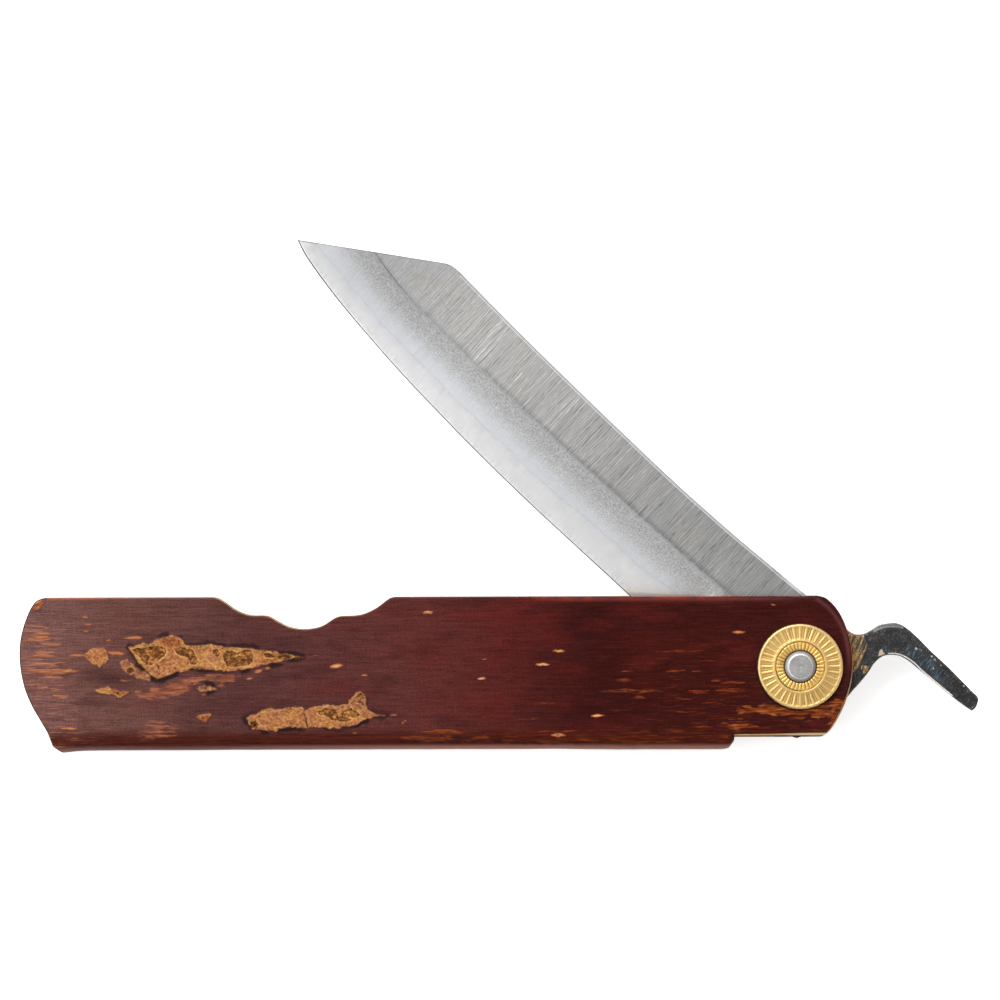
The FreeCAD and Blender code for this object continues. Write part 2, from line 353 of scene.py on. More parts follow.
def y_top(x):
    a = np.array(NOTCH)
    low = a[:, 1] + 0.01 - 0.040 * sstep(0.0, 0.35, 9.02 - a[:, 1])
    return np.where((x > -75.55) & (x < -52.0), np.minimum(hermite(a[:, 0], low, x), TOP), TOP)


def y_low(x):
    return np.where(x > FOLD_X, FOLD_Y + (0.03 + 0.17 * sstep(-7.0, 3.5, x)) * sstep(FOLD_X, FOLD_X + 0.5, x), FOLD_Y)


# Scars, lenticels and streaks of the bark on the flat drawing grid.
SCAR = [(127.9, 646.8), (136.3, 644.4), (150.3, 642.6), (158.7, 638.4), (164.3, 635.6), (171.4, 635.2),
        (179.8, 638.4), (185.4, 644.0), (192.4, 645.0), (203.6, 643.3), (216.3, 645.0), (228.4, 646.1),
        (241.0, 646.8), (252.3, 647.5), (262.1, 649.6), (278.9, 652.9), (293.0, 654.3), (305.6, 656.6),
        (294.4, 658.5), (283.1, 660.2), (276.1, 663.0), (262.1, 665.1), (248.1, 668.6), (234.0, 670.7),
        (220.0, 670.2), (206.4, 668.6), (192.4, 669.2), (181.2, 671.8), (167.1, 675.6), (161.6, 678.6),
        (155.9, 678.6), (150.3, 675.0), (143.3, 668.6), (136.3, 661.6), (132.1, 653.1)]
SCAR_PIT_A = [(133.5, 648.9), (144.7, 646.8), (150.3, 646.1), (161.5, 646.1), (166.4, 648.9), (165.7, 653.1),
              (160.1, 657.3), (154.5, 661.6), (150.3, 664.4), (144.7, 663.0), (139.1, 657.3), (134.9, 653.1)]
SCAR_PIT_B = [(174.2, 648.2), (181.2, 646.8), (191.0, 648.9), (195.2, 655.9), (198.0, 661.6), (193.8, 664.4),
              (189.6, 663.0), (188.2, 657.3), (178.4, 654.5)]
SCAR_PIT_C = [(222.6, 655.0), (225.6, 651.0), (231.0, 650.4), (236.0, 652.8), (240.5, 651.6), (245.0, 648.9),
              (250.0, 650.0), (252.6, 655.0), (251.6, 661.0), (247.5, 665.0), (240.0, 665.6), (233.0, 666.4),
              (227.6, 665.6), (223.8, 661.4)]
SCAR_TOP = [(158.0, 644.5), (163.0, 638.0), (171.0, 636.2), (179.0, 639.5), (183.5, 645.5), (176.0, 647.0), (166.0, 646.5)]
FLAP = [(120.8, 660.2), (126.5, 658.8), (133.5, 663.0), (141.9, 668.6), (150.3, 674.2), (151.7, 679.8),
        (144.7, 679.8), (136.3, 677.0), (126.5, 672.8), (122.2, 668.6), (120.1, 663.7)]
KNOT = [(85.4, 655.5), (87.6, 651.0), (91.6, 647.8), (96.6, 646.6), (102.0, 647.4), (106.2, 650.2), (108.4, 654.8),
        (107.6, 659.4), (103.8, 663.2), (98.0, 666.4), (92.8, 664.8), (88.2, 661.0)]
SMALL_A = [(94.2, 689.9), (101.2, 687.2), (108.2, 686.1), (112.0, 688.6), (112.6, 693.2), (105.4, 694.0), (98.4, 692.6)]
SMALL_B = [(112.0, 690.0), (116.6, 689.2), (120.0, 690.8), (123.5, 690.4), (128.9, 692.4), (123.8, 694.6), (120.2, 697.6),
           (115.6, 696.4), (112.6, 693.6)]
SPOT_1 = [(196.6, 688.2), (199.4, 685.8), (204.4, 684.4), (210.2, 684.8), (214.6, 687.0), (217.0, 689.5), (212.0, 690.5),
          (205.2, 691.5), (199.2, 690.8)]
SPOT_2 = [(195.9, 717.0), (198.0, 714.2), (203.6, 713.5), (211.3, 712.8), (208.5, 717.7), (206.4, 721.9),
          (203.6, 722.6), (200.8, 719.8)]
LOW = [(245.3, 717.7), (249.5, 714.9), (256.5, 713.5), (260.7, 709.3), (269.1, 708.6), (278.9, 707.9),
       (287.3, 707.9), (295.8, 706.5), (302.8, 707.2), (304.2, 709.3), (309.8, 707.9), (318.2, 705.1),
       (326.6, 704.4), (335.1, 705.1), (346.3, 703.7), (349.8, 699.4), (353.3, 695.2), (356.1, 691.7),
       (359.6, 690.3), (364.5, 693.8), (365.9, 698.0), (366.6, 709.3), (371.5, 711.4), (378.6, 713.5),
       (388.4, 714.2), (382.8, 716.3), (371.5, 717.0), (363.1, 720.5), (353.3, 724.7),
       (343.5, 726.8), (332.2, 728.2), (318.2, 727.5), (309.8, 726.1), (305.6, 728.2), (298.6, 728.9),
       (290.2, 726.8), (281.7, 728.9), (273.3, 731.0), (266.3, 731.0), (257.9, 728.9), (252.3, 728.9),
       (249.5, 724.7)]
LOW_PIT_A = [(318.2, 712.6), (322.5, 709.0), (328.0, 707.6), (334.5, 709.6), (337.4, 714.0), (337.0, 718.6), (331.4, 717.6),
             (324.0, 715.4)]
LOW_PIT_B = [(341.0, 713.6), (345.4, 709.6), (350.6, 708.6), (356.5, 711.6), (358.6, 716.0), (354.0, 718.4), (349.0, 716.2),
             (344.5, 718.8), (341.5, 717.4)]
KNOB = [(349.0, 703.5), (353.0, 696.6), (356.8, 691.7), (360.3, 691.0), (365.2, 694.5), (365.9, 702.2), (365.5, 709.0),
        (360.0, 708.0), (354.0, 705.0)]
CHIP = [(31.5, 608.6), (35.2, 603.4), (39.4, 600.6), (45.8, 600.4), (43.5, 603.4), (40.0, 606.6), (37.0, 609.8), (34.0, 609.0)]
# ochre fibrous areas: outline, strength
BESIDE = [(136.3, 692.0), (150.3, 688.8), (164.0, 685.4), (178.0, 680.6), (192.0, 677.6), (206.4, 676.0), (224.0, 674.8),
          (243.0, 673.4), (236.0, 677.2), (229.0, 680.6), (222.0, 685.0), (214.0, 683.6), (207.0, 680.6), (199.0, 681.0), (191.0, 685.0),
          (188.0, 690.0), (178.4, 694.4), (164.3, 697.6), (150.0, 699.0), (138.0, 698.0)]
BAND = [(738, 710.5), (746, 706.6), (756, 705.4), (764, 703.6), (772, 703.2), (790, 707), (802, 708.5), (814, 707.0),
        (823, 708.5), (833, 712.5), (836, 716), (824, 716.6), (812, 716.8), (800, 717), (786, 716), (772, 714.8),
        (757, 714), (746, 713)]
END = [(812, 707.5), (820, 704.2), (828, 701), (837, 699.6), (846, 698.6), (844, 706), (840, 712), (836, 718),
       (833, 723.5), (829.4, 722), (831, 716), (826, 712.5), (818, 711.5)]
PATCH = [(722, 722), (730, 718.5), (741, 718.0), (750, 721.5), (754, 726), (748, 730.5), (736, 732), (726, 729)]
FEET = [(136, 727), (146, 721), (160, 720), (172, 722), (182, 727.5), (176, 732), (170, 737), (158, 742), (142, 741), (133, 734)]
OCHRE = [(BESIDE, 1.05), (BAND, 1.05), (END, 1.40), (PATCH, .62), (FEET, .46)]

# lenticels: x, y, half length, half height, tilt in degrees, brightness
LENTICELS = [(335.6, 665.6, 8.2, 3.0, -3, .86), (363.8, 674.6, 4.0, 1.6, 0, .60), (427.2, 612, 7.0, 2.5, 0, .80),
             (558.4, 650.3, 7.2, 2.3, 0, .92), (541.5, 663.8, 9.2, 2.3, 1, .98), (481.4, 678.1, 5.8, 2.1, 0, .95),
             (596.4, 715.1, 8.2, 2.2, 0, 1.0), (557.2, 734.5, 8.6, 3.3, 0, .72), (738.0, 631.7, 9.0, 2.3, 0, .74),
             (81.6, 606.6, 3.2, 1.4, 0, .50), (84.4, 616.9, 5.0, 1.7, 4, .60), (87.4, 624.0, 6.4, 1.5, -4, .56),
             (85.2, 630.3, 5.0, 1.6, 2, .58), (133.8, 637.3, 13.2, 2.3, -1, .66), (108.0, 640.0, 4.4, 1.4, -6, .52),
             (484.0, 658.8, 4.6, 1.1, 0, .55), (772.6, 604.7, 4.0, 1.6, 10, .46), (257.9, 670.8, 5.4, 3.1, -14, .58),
             (267.8, 667.6, 4.8, 2.1, -8, .52), (249.4, 678.0, 5.0, 2.0, -6, .58), (316.0, 655.5, 5.0, 1.1, 0, .40),
             (394.0, 714.6, 6.6, 1.2, 0, .56), (300.7, 741.4, 2.2, 1.3, 0, .55), (354.7, 732.8, 4.0, 1.2, 0, .40),
             (68.6, 727.9, 11.4, 2.2, 2, .66), (77.0, 654.9, 13.0, 2.0, 0, .64), (115.0, 652.8, 15.0, 3.4, 2, .56), (36.8, 602.2, 7.5, 1.1, -30, 1.0),
             (402.5, 722.6, 1.6, 3.2, 24, .50), (405.2, 720.2, 1.3, 2.6, 20, .42), (124.0, 680.2, 8.5, 1.5, 3, .50),
             (40.6, 636.6, 12.0, 2.6, -3, .64), (68.0, 670.3, 12.0, 2.4, 0, .66), (43.0, 671.2, 15.0, 2.4, -2, .58),
             (838.4, 714.0, 6.0, 2.0, -52, .55), (831.0, 704.6, 9.0, 1.7, -12, .50), (826.6, 713.4, 6.0, 1.6, 18, .46),
             (842.0, 703.4, 4.6, 1.6, -68, .46), (203.2, 693.9, 6.0, 1.0, 0, .52)]
# streaks: x from, x to, y, half height, strength
STREAKS = [(24, 53, 638.8, 2.0, .95), (30, 56, 651.6, 1.3, .85), (30, 56, 656.0, 1.4, .95), (31, 60, 662.6, 1.4, .85),
           (27, 82, 670.2, 2.2, .95), (36, 66, 677.4, 1.3, .85), (30, 52, 632.6, 1.8, .70), (36, 52, 627, 1.3, .5),
           (34, 70, 643.8, 1.6, .6), (50, 71, 695.4, 1.5, .85), (34, 50, 686.8, 1.8, .6), (40, 70, 706, 1.6, .35),
           (36, 60, 617, 1.4, .3), (40, 62, 690.6, 1.4, .4), (92, 114, 727.6, 1.2, .4), (42, 74, 713.6, 1.4, .4),
           (140, 170, 721.5, 1.6, .55), (147, 182, 727, 1.8, .7), (138, 166, 731.5, 1.5, .6), (144, 179, 735.5, 1.8, .7), (132, 160, 739.5, 1.5, .55),
           (128, 144, 627.8, 1.0, .4), (142, 154, 631, 1.0, .4), (116, 128, 712.8, 1.0, .35), (98, 108, 713.6, 1.2, .3),
           (416, 468, 731.6, 1.8, .85), (396, 462, 737.8, 2.6, 1.0), (470, 492, 737, 1.9, .9), (456, 478, 740.4, 1.4, .7),
           (500, 520, 740.8, 1.3, .6), (524, 566, 741, 1.8, .85), (564, 606, 739.4, 1.7, .75), (604, 652, 740, 1.6, .75),
           (650, 690, 741, 1.5, .7), (612, 634, 678.6, 2.6, .55), (618, 637, 671, 1.2, .55), (596, 668, 690.4, 2.2, .75),
           (648, 712, 651.2, 1.4, .6), (659, 688, 669.8, 1.6, .7), (688, 705, 670.1, 1.3, .6), (709, 722, 680.4, 1.6, .75),
           (717, 746, 682.5, 1.7, .8), (686, 710, 690.8, 1.9, .9), (713, 747, 690.2, 2.3, .9), (631, 647, 697.2, 1.6, .65),
           (534, 560, 703, 1.7, .5), (736, 826, 711.5, 3.0, .8), (722, 756, 725.5, 4.0, .5), (694, 730, 703, 1.4, .5),
           (664, 700, 711, 1.3, .45), (640, 672, 720, 1.4, .45), (690, 716, 727, 1.4, .6), (655, 690, 730, 1.2, .4),
           (604, 634, 727, 1.2, .45), (714, 732, 736.6, 1.6, .75), (700, 740, 640, 1.0, .35), (690, 726, 660, 1.1, .4),
           (610, 640, 664, 1.1, .35), (560, 600, 682, 1.2, .35), (500, 536, 690, 1.2, .3), (510, 548, 718, 1.4, .4),
           (450, 490, 704, 1.2, .3), (380, 420, 690, 1.4, .25), (395, 416, 633.5, 2.4, .3), (440, 476, 640, 1.3, .25),
           (100, 150, 712, 1.4, .25), (60, 110, 643, 1.2, .25), (200, 240, 700, 1.4, .2), (474, 488, 686.8, .9, .35),
           (524, 590, 731, 1.3, .5), (690, 722, 645, 1.0, .4), (652, 676, 658, 1.1, .45), (726, 752, 652, 1.0, .35),
           (640, 660, 640, 1.0, .3), (670, 700, 698, 1.2, .5), (745, 762, 672, 1.0, .35), (596, 640, 709, 1.2, .4)]
# dark cracks, as polylines with a half width and a depth of shade
CRACKS = [([(128, 648.5), (131.5, 655), (137, 662.5), (144, 669.5), (151, 676), (158, 681)], 1.2, .95),
          ([(155.6, 663.4), (158.4, 667), (159.0, 672), (157.6, 676.6)], .9, .95),
          ([(304.4, 708.5), (303.4, 712), (305.4, 718), (306.0, 723), (307.5, 727.0)], 1.0, .95),
          ([(278, 657.5), (286, 655.6), (294, 656.6), (301, 657.2)], .8, .75),
          ([(301, 656.8), (307, 656.4), (312, 656.2)], .7, .45),
          ([(262, 653.5), (270, 655), (277, 658.5)], .7, .6),
          ([(111, 647.0), (118, 647.6), (128, 647.2)], .9, .7),
          ([(90, 661.4), (94.5, 664.4), (99, 664.6), (103, 661.8)], .9, .6),
          ([(90.5, 657), (92, 652.6), (96.4, 650.2), (101.4, 651.8), (103.2, 655.8), (100.4, 659.6), (96.2, 659.2), (95.6, 655.8)], .7, .42),
          ([(735, 736.0), (727, 737.4), (715, 737.9)], 1.3, .95),
          ([(396, 741.2), (430, 741.8), (466, 741.0), (500, 739.4)], 1.3, .95),
          ([(440, 735.4), (456, 737.2), (478, 739.2), (500, 742)], 1.2, .95),
          ([(522, 743), (560, 743.2), (600, 742.2), (640, 742.6)], 1.2, .9),
          ([(70, 741.6), (110, 741), (150, 742.4)], .7, .5), ([(48, 738), (90, 739.4)], .7, .45),
          ([(740, 702.5), (760, 700.5), (776, 702.0)], 1.6, .55), ([(745, 715.5), (770, 717.6), (800, 719.4), (826, 719.0)], 1.4, .5),
          ([(32, 693.6), (44, 692.4), (54, 690.2)], .6, .5)]
# black pinholes: x, y, radius
HOLES = [(175.0, 667.9, 1.2), (187.8, 662.3, 1.3), (129.3, 670.4, 1.5), (254.6, 724.5, 2.0), (829.8, 708.5, 2.9),
         (836.4, 709.9, 2.6), (838.6, 709.8, 2.0), (823.0, 706.6, 1.4), (833.0, 703.6, 1.2), (826.0, 709.4, 1.3), (834.6, 712.6, 1.0),
         (168.0, 660.4, .9), (179.6, 664.6, .9), (171.6, 656.0, .8), (198.6, 667.2, .9), (183.0, 655.0, .8), (557.1, 734.6, 1.5), (205.0, 687.6, 1.4),
         (360.6, 693.4, 1.2), (359.6, 701.0, 1.4), (117.5, 692.6, 1.3), (202.8, 717.6, 1.1), (290.6, 708.4, 1.0),
         (268.5, 729.6, 1.2), (357.6, 714.4, 1.2), (319.0, 711.0, 1.3), (147.0, 659.5, 1.2), (141.0, 652.0, 1.1),
         (230.0, 655.6, 1.3), (236.8, 657.2, 1.2), (229.0, 663.0, 1.2), (244.6, 653.4, 1.1), (97.2, 657.4, 1.0)]
# broad changes of tone: x, y, half width, half height, amount (below 0 darker, above 0 redder)
TONES = [(112, 679, 24, 9, -.75), (92, 671, 16, 8, -.45), (214, 706, 44, 13, -.40), (262, 641, 38, 7, -.35),
         (585, 622, 26, 14, -.30), (660, 612, 40, 8, -.35), (690, 722, 40, 8, -.25), (150, 705, 22, 8, .25),
         (520, 614, 44, 9, .55), (556, 638, 30, 13, .35), (472, 700, 34, 10, .30), (335, 688, 30, 9, .35),
         (430, 655, 24, 18, .35), (600, 724, 34, 6, .35), (648, 640, 40, 14, .20), (400, 612, 30, 8, .2),
         (505, 650, 22, 12, .30), (575, 672, 16, 12, .25), (610, 700, 30, 8, -.2), (770, 640, 26, 16, -.2)]


def spindle(px, py, cx, cy, rx, ry, tilt=0.0, power=1.7):
    a = math.radians(tilt)
    dx = (px - cx) * math.cos(a) + (py - cy) * math.sin(a)
    dy = -(px - cx) * math.sin(a) + (py - cy) * math.cos(a)
    return 1.0 - (np.abs(dx) / rx) ** power - np.abs(dy) / ry


PAINT = ("scar", "pit", "lens", "streak", "dark", "hue", "ochre", "fibre", "tone")


def blank(n):
    f = {k: np.zeros(n) for k in PAINT + ("disp",)}
    f["scar"] += 9.0
    f["pit"] += 9.0
    return f


def near(px, py, outline, pad):
    lo, hi = np.min(outline, 0) - pad, np.max(outline, 0) + pad
    return np.nonzero((px > lo[0]) & (px < hi[0]) & (py > lo[1]) & (py < hi[1]))[0]


def add_scar(f, px, py, outline, rough=1.0, lip=0.09, depth=0.05, edge=0.85, hue=0.0, seed=0, upper=0.45, wide=1.0):
    """Cork laid bare: signed distance, a raised lip and a dark uneven outline, partly dark bark and partly painted
    shadow.
    """
    k = near(px, py, outline, 9)
    if not len(k):
        return
    x, y = px[k], py[k]
    sd = shape_dist(x, y, outline) + rough * (1.1 * vnoise(x * .21, y * .26, 31 + seed) + .7 * vnoise(x * .6, y * .7, 47 + seed))
    m = np.clip(0.5 - sd / 1.5, 0, 1)
    win = sd < f["scar"][k]
    f["hue"][k] = np.where(win & (sd < 3), hue, f["hue"][k])
    f["scar"][k] = np.minimum(f["scar"][k], sd)
    grain = 0.6 * vnoise(x * .33, y * .4, 5 + seed) + 0.5 * vnoise(x * .8, y * .8, 6 + seed)
    f["disp"][k] += m * (-depth + 0.06 * grain) + lip * np.exp(-((sd + 1.1) / 1.5) ** 2) - 0.05 * np.exp(-((sd - 2.0) / 1.3) ** 2)
    # painted shadow: side weights the outline from upper on its upper side to 1 on its lower side
    side = (1 + upper) / 2 + (1 - upper) / 2 * np.clip((y - np.mean(np.asarray(outline)[:, 1])) / 8.0, -1, 1)
    vary = np.clip(0.75 + 0.9 * vnoise(x * .11, y * .15, 91 + seed), 0, 1)
    width = wide * (1.1 + 1.5 * np.clip(0.5 + vnoise(x * .08, y * .1, 95 + seed), 0, 1))
    f["dark"][k] = np.maximum(f["dark"][k], edge * side * vary * np.exp(-(np.maximum(np.abs(sd - 1.4) - .4, 0) / width) ** 2))


def add_hue(f, px, py, outline, hue):
    k = near(px, py, outline, 3)
    m = np.clip(0.5 - shape_dist(px[k], py[k], outline) / 4.0, 0, 1)
    f["hue"][k] += (hue - f["hue"][k]) * m


def add_pit(f, px, py, outline, deep=0.15, seed=0, rough=1.0):
    k = near(px, py, outline, 5)
    if not len(k):
        return
    x, y = px[k], py[k]
    sd = shape_dist(x, y, outline) + rough * (1.0 * vnoise(x * .3, y * .36, 81 + seed) + .6 * vnoise(x * .8, y * .9, 82 + seed))
    f["pit"][k] = np.minimum(f["pit"][k], sd)
    m = np.clip(0.5 - sd / 2.0, 0, 1)
    f["disp"][k] -= deep * m * (0.8 + 0.3 * vnoise(x * .7, y * .7, 83 + seed))
    f["disp"][k] += 0.05 * np.exp(-((sd - 1.3) / 0.9) ** 2)


def add_lenticel(f, px, py, cx, cy, rx, ry, tilt, bright=0.8, height=0.05):
    k = np.nonzero((np.abs(px - cx) < rx + 4) & (np.abs(py - cy) < rx * 0.4 + ry + 4))[0]
    if not len(k):
        return
    x, y = px[k], py[k]
    g = spindle(x, y, cx + .5 * vnoise(x * .2, y * .2, 3), cy + .5 * vnoise(x * .33, y * .2, 4), rx, ry, tilt)
    f["lens"][k] = np.maximum(f["lens"][k], bright * sstep(-0.20, 0.95, g))
    f["disp"][k] += height * np.clip(g + .2, 0, .8)
    f["dark"][k] = np.maximum(f["dark"][k], 0.32 * bright * np.exp(-((g + 0.55) / 0.35) ** 2))


def add_streak(f, px, py, x0, x1, yc, hh, strength):
    cx, rx = (x0 + x1) / 2, (x1 - x0) / 2
    k = np.nonzero((np.abs(px - cx) < rx + 3) & (np.abs(py - yc) < hh + 4))[0]
    if not len(k):
        return
    x, y = px[k], py[k]
    g = spindle(x, y, cx, yc + 1.1 * vnoise(x * .08, y * 0 + yc, 12), rx, hh * (1.25 if cx < 520 else 1.0), 0, 2.6)
    m = strength * np.clip(0.25 + 0.9 * g, 0, 1) * (g > -0.28)
    f["streak"][k] = np.maximum(f["streak"][k], m)
    f["disp"][k] += 0.012 * m
    if cx < 120:
        f["dark"][k] = np.maximum(f["dark"][k], 0.60 * strength * np.exp(-((g + 0.58) / 0.34) ** 2) * np.clip(0.5 + 1.3 * vnoise(x * .1, y * .5, 14), 0, 1))


def add_crack(f, px, py, pts, width=1.0, dark=0.95, deep=0.12):
    k = near(px, py, np.asarray(pts, float), 5)
    if not len(k):
        return
    d = line_dist(px[k], py[k], pts) + 0.35 * vnoise(px[k] * .5, py[k] * .5, 66)
    m = np.exp(-(d / width) ** 2) * np.clip(0.9 + 0.6 * vnoise(px[k] * .13, py[k] * .2, 68), 0, 1)
    f["dark"][k] = np.maximum(f["dark"][k], dark * m)
    f["disp"][k] -= deep * dark * m


def add_hole(f, px, py, cx, cy, r):
    d = np.hypot(px - cx, py - cy)
    k = np.nonzero(d < r * 3)[0]
    m = np.exp(-(d[k] / r) ** 2)
    f["dark"][k] = np.maximum(f["dark"][k], m)
    f["disp"][k] -= 0.16 * m


def front_features(px, py):
    f = blank(len(px))
    add_scar(f, px, py, FLAP, 0.9, 0.06, 0.02, 0.50, -0.70, seed=17)
    add_scar(f, px, py, SCAR, 0.9, 0.10, 0.05, 0.98, 0.0, seed=1, upper=0.85, wide=1.5)
    add_scar(f, px, py, LOW, 0.9, 0.08, 0.04, 0.92, 0.2, seed=9, upper=0.5, wide=1.2)
    add_scar(f, px, py, KNOT, 1.3, 0.08, 0.03, 0.34, -0.10, seed=23)
    add_scar(f, px, py, SMALL_A, 0.6, 0.05, 0.0, 0.45, -0.1, seed=29)
    add_scar(f, px, py, SMALL_B, 0.7, 0.05, 0.0, 0.55, 0.85, seed=33)
    add_scar(f, px, py, SPOT_1, 0.5, 0.06, 0.0, 0.85, -0.75, seed=37, upper=1.4, wide=1.3)
    add_scar(f, px, py, SPOT_2, 0.6, 0.06, 0.0, 0.45, 0.75, seed=41)
    add_scar(f, px, py, CHIP, 1.9, 0.0, 0.08, 0.60, 0.85, seed=53)
    add_hue(f, px, py, SCAR_TOP, 0.8)
    add_hue(f, px, py, KNOB, -0.85)
    add_hue(f, px, py, [(262, 650), (292, 654), (300, 657), (276, 661), (260, 664)], 0.65)
    add_pit(f, px, py, SCAR_PIT_A, 0.14, 1)
    add_pit(f, px, py, SCAR_PIT_B, 0.12, 5)
    add_pit(f, px, py, SCAR_PIT_C, 0.13, 7, 0.5)
    add_pit(f, px, py, [(263, 652.5), (270, 653.5), (277, 656.0), (271, 657.6), (264, 656)], 0.06, 8, 0.7)
    add_pit(f, px, py, [(277.5, 655.6), (285, 654.2), (293, 656.4), (286, 658.6), (278.5, 658.8)], 0.07, 18, 0.5)
    add_pit(f, px, py, [(212.0, 649.4), (217.0, 648.6), (220.0, 652.4), (217.4, 656.0), (212.6, 653.6)], 0.08, 13, 0.5)
    add_pit(f, px, py, LOW_PIT_A, 0.11, 11, 1.1)
    add_pit(f, px, py, LOW_PIT_B, 0.11, 12, 1.5)
    add_pit(f, px, py, [(329, 714.5), (337, 716.0), (345, 716.6), (350, 719.6), (341, 721.4), (332, 719.4)], 0.08, 20, 1.2)
    add_pit(f, px, py, [(250, 722), (255, 720.6), (258.4, 724.4), (255.4, 728.2), (250.6, 726.6)], 0.09, 19, 0.5)
    add_pit(f, px, py, [(356.5, 694.8), (360.6, 693.0), (363.4, 697.5), (362.4, 704), (357.6, 702.4)], 0.03, 15, 1.5)
    add_pit(f, px, py, [(125.6, 668.6), (130.6, 667.0), (134.4, 670.0), (130.4, 673.0), (126.6, 671.6)], 0.07, 16, 0.4)
    for cx, cy, rx, ry, tilt, bright in LENTICELS:
        slim = 0.86 if cx > 400 else 1.0
        add_lenticel(f, px, py, cx, cy, rx * 1.08, ry * slim, tilt, bright)
    # concentric growth in the knot
    kr = np.hypot((px - 96.2) / 1.15, py - 656.0)
    kk = np.nonzero(kr < 11)[0]
    f["lens"][kk] = np.maximum(f["lens"][kk], 0.16 * np.exp(-((kr[kk] - 7.6) / 1.0) ** 2))
    f["dark"][kk] = np.maximum(f["dark"][kk], 0.42 * np.exp(-((kr[kk] - 5.4) / .8) ** 2) * sstep(653, 660, py[kk]))
    for one in STREAKS:
        add_streak(f, px, py, *one)
    for one in CRACKS:
        add_crack(f, px, py, *one)
    for one in HOLES:
        add_hole(f, px, py, *one)
    for i, (outline, amount) in enumerate(OCHRE):
        sd = shape_dist(px, py, outline) + 3.2 * vnoise(px * .11, py * .34, 700 + i) + 1.6 * vnoise(px * .34, py * .8, 720 + i)
        f["ochre"] = np.maximum(f["ochre"], amount * np.clip(0.5 - sd / 6.0, 0, 1))
    for cx, cy, rx, ry, amount in TONES:
        f["tone"] += amount * np.exp(-((px - cx) / rx) ** 2 - ((py - cy) / ry) ** 2)
    f["fibre"] = np.clip(0.58 * sstep(88, 38, px) * sstep(604, 634, py) * sstep(724, 690, py)
                         + 0.25 * sstep(150, 60, px) + 0.28 * sstep(585, 690, px) * sstep(650, 690, py)
                         + 0.14 * sstep(560, 640, px) + (0.46 - 0.30 * sstep(630, 690, px)) * sstep(722, 731, py) * sstep(380, 470, px)
                         + 0.35 * sstep(95, 60, px) * sstep(700, 716, py), 0, 1)
    return f


def back_features(px, py):
    """The face that lies on the table: same bark, its own scars."""
    r = np.random.default_rng(20)
    f = blank(len(px))
    for cx, cy, rx, ry, seed in ((610, 655, 62, 13, 3), (300, 700, 40, 10, 4), (420, 640, 16, 7, 6)):
        t = np.linspace(0, 2 * math.pi, 40)[:-1]
        w = 1 + 0.22 * np.sin(3 * t + seed) + 0.12 * np.sin(5 * t + 2 * seed)
        ring = np.stack([cx + rx * w * np.sign(np.cos(t)) * np.abs(np.cos(t)) ** 1.3, cy + ry * w * np.sin(t)], 1)
        add_scar(f, px, py, ring, 1.3, 0.09, 0.05, 0.9, 0.1 * seed - 0.3, seed=60 + seed)
        pit = np.stack([cx + rx * .35 * np.cos(t) - rx * .2, cy + ry * .45 * np.sin(t)], 1)
        add_pit(f, px, py, pit, 0.12, 70 + seed, 1.4)
    for _ in range(30):
        add_lenticel(f, px, py, r.uniform(40, 840), r.uniform(604, 730), r.uniform(4, 9), r.uniform(1.5, 2.5), r.uniform(-4, 4), r.uniform(.45, 1))
    for _ in range(60):
        x0 = r.uniform(30, 790)
        add_streak(f, px, py, x0, x0 + r.uniform(18, 60), r.uniform(602, 735), r.uniform(1.2, 2.6), r.uniform(.3, .9))
    f["fibre"] = 0.30 + 0.55 * sstep(90, 40, px) + 0.25 * sstep(585, 690, px)
    return f


def skin_waves(x, s):
    return 0.020 * fbm(x * .16, s * .30, 201, 2) + 0.012 * fbm(x * .5, s * 2.0, 205, 2)


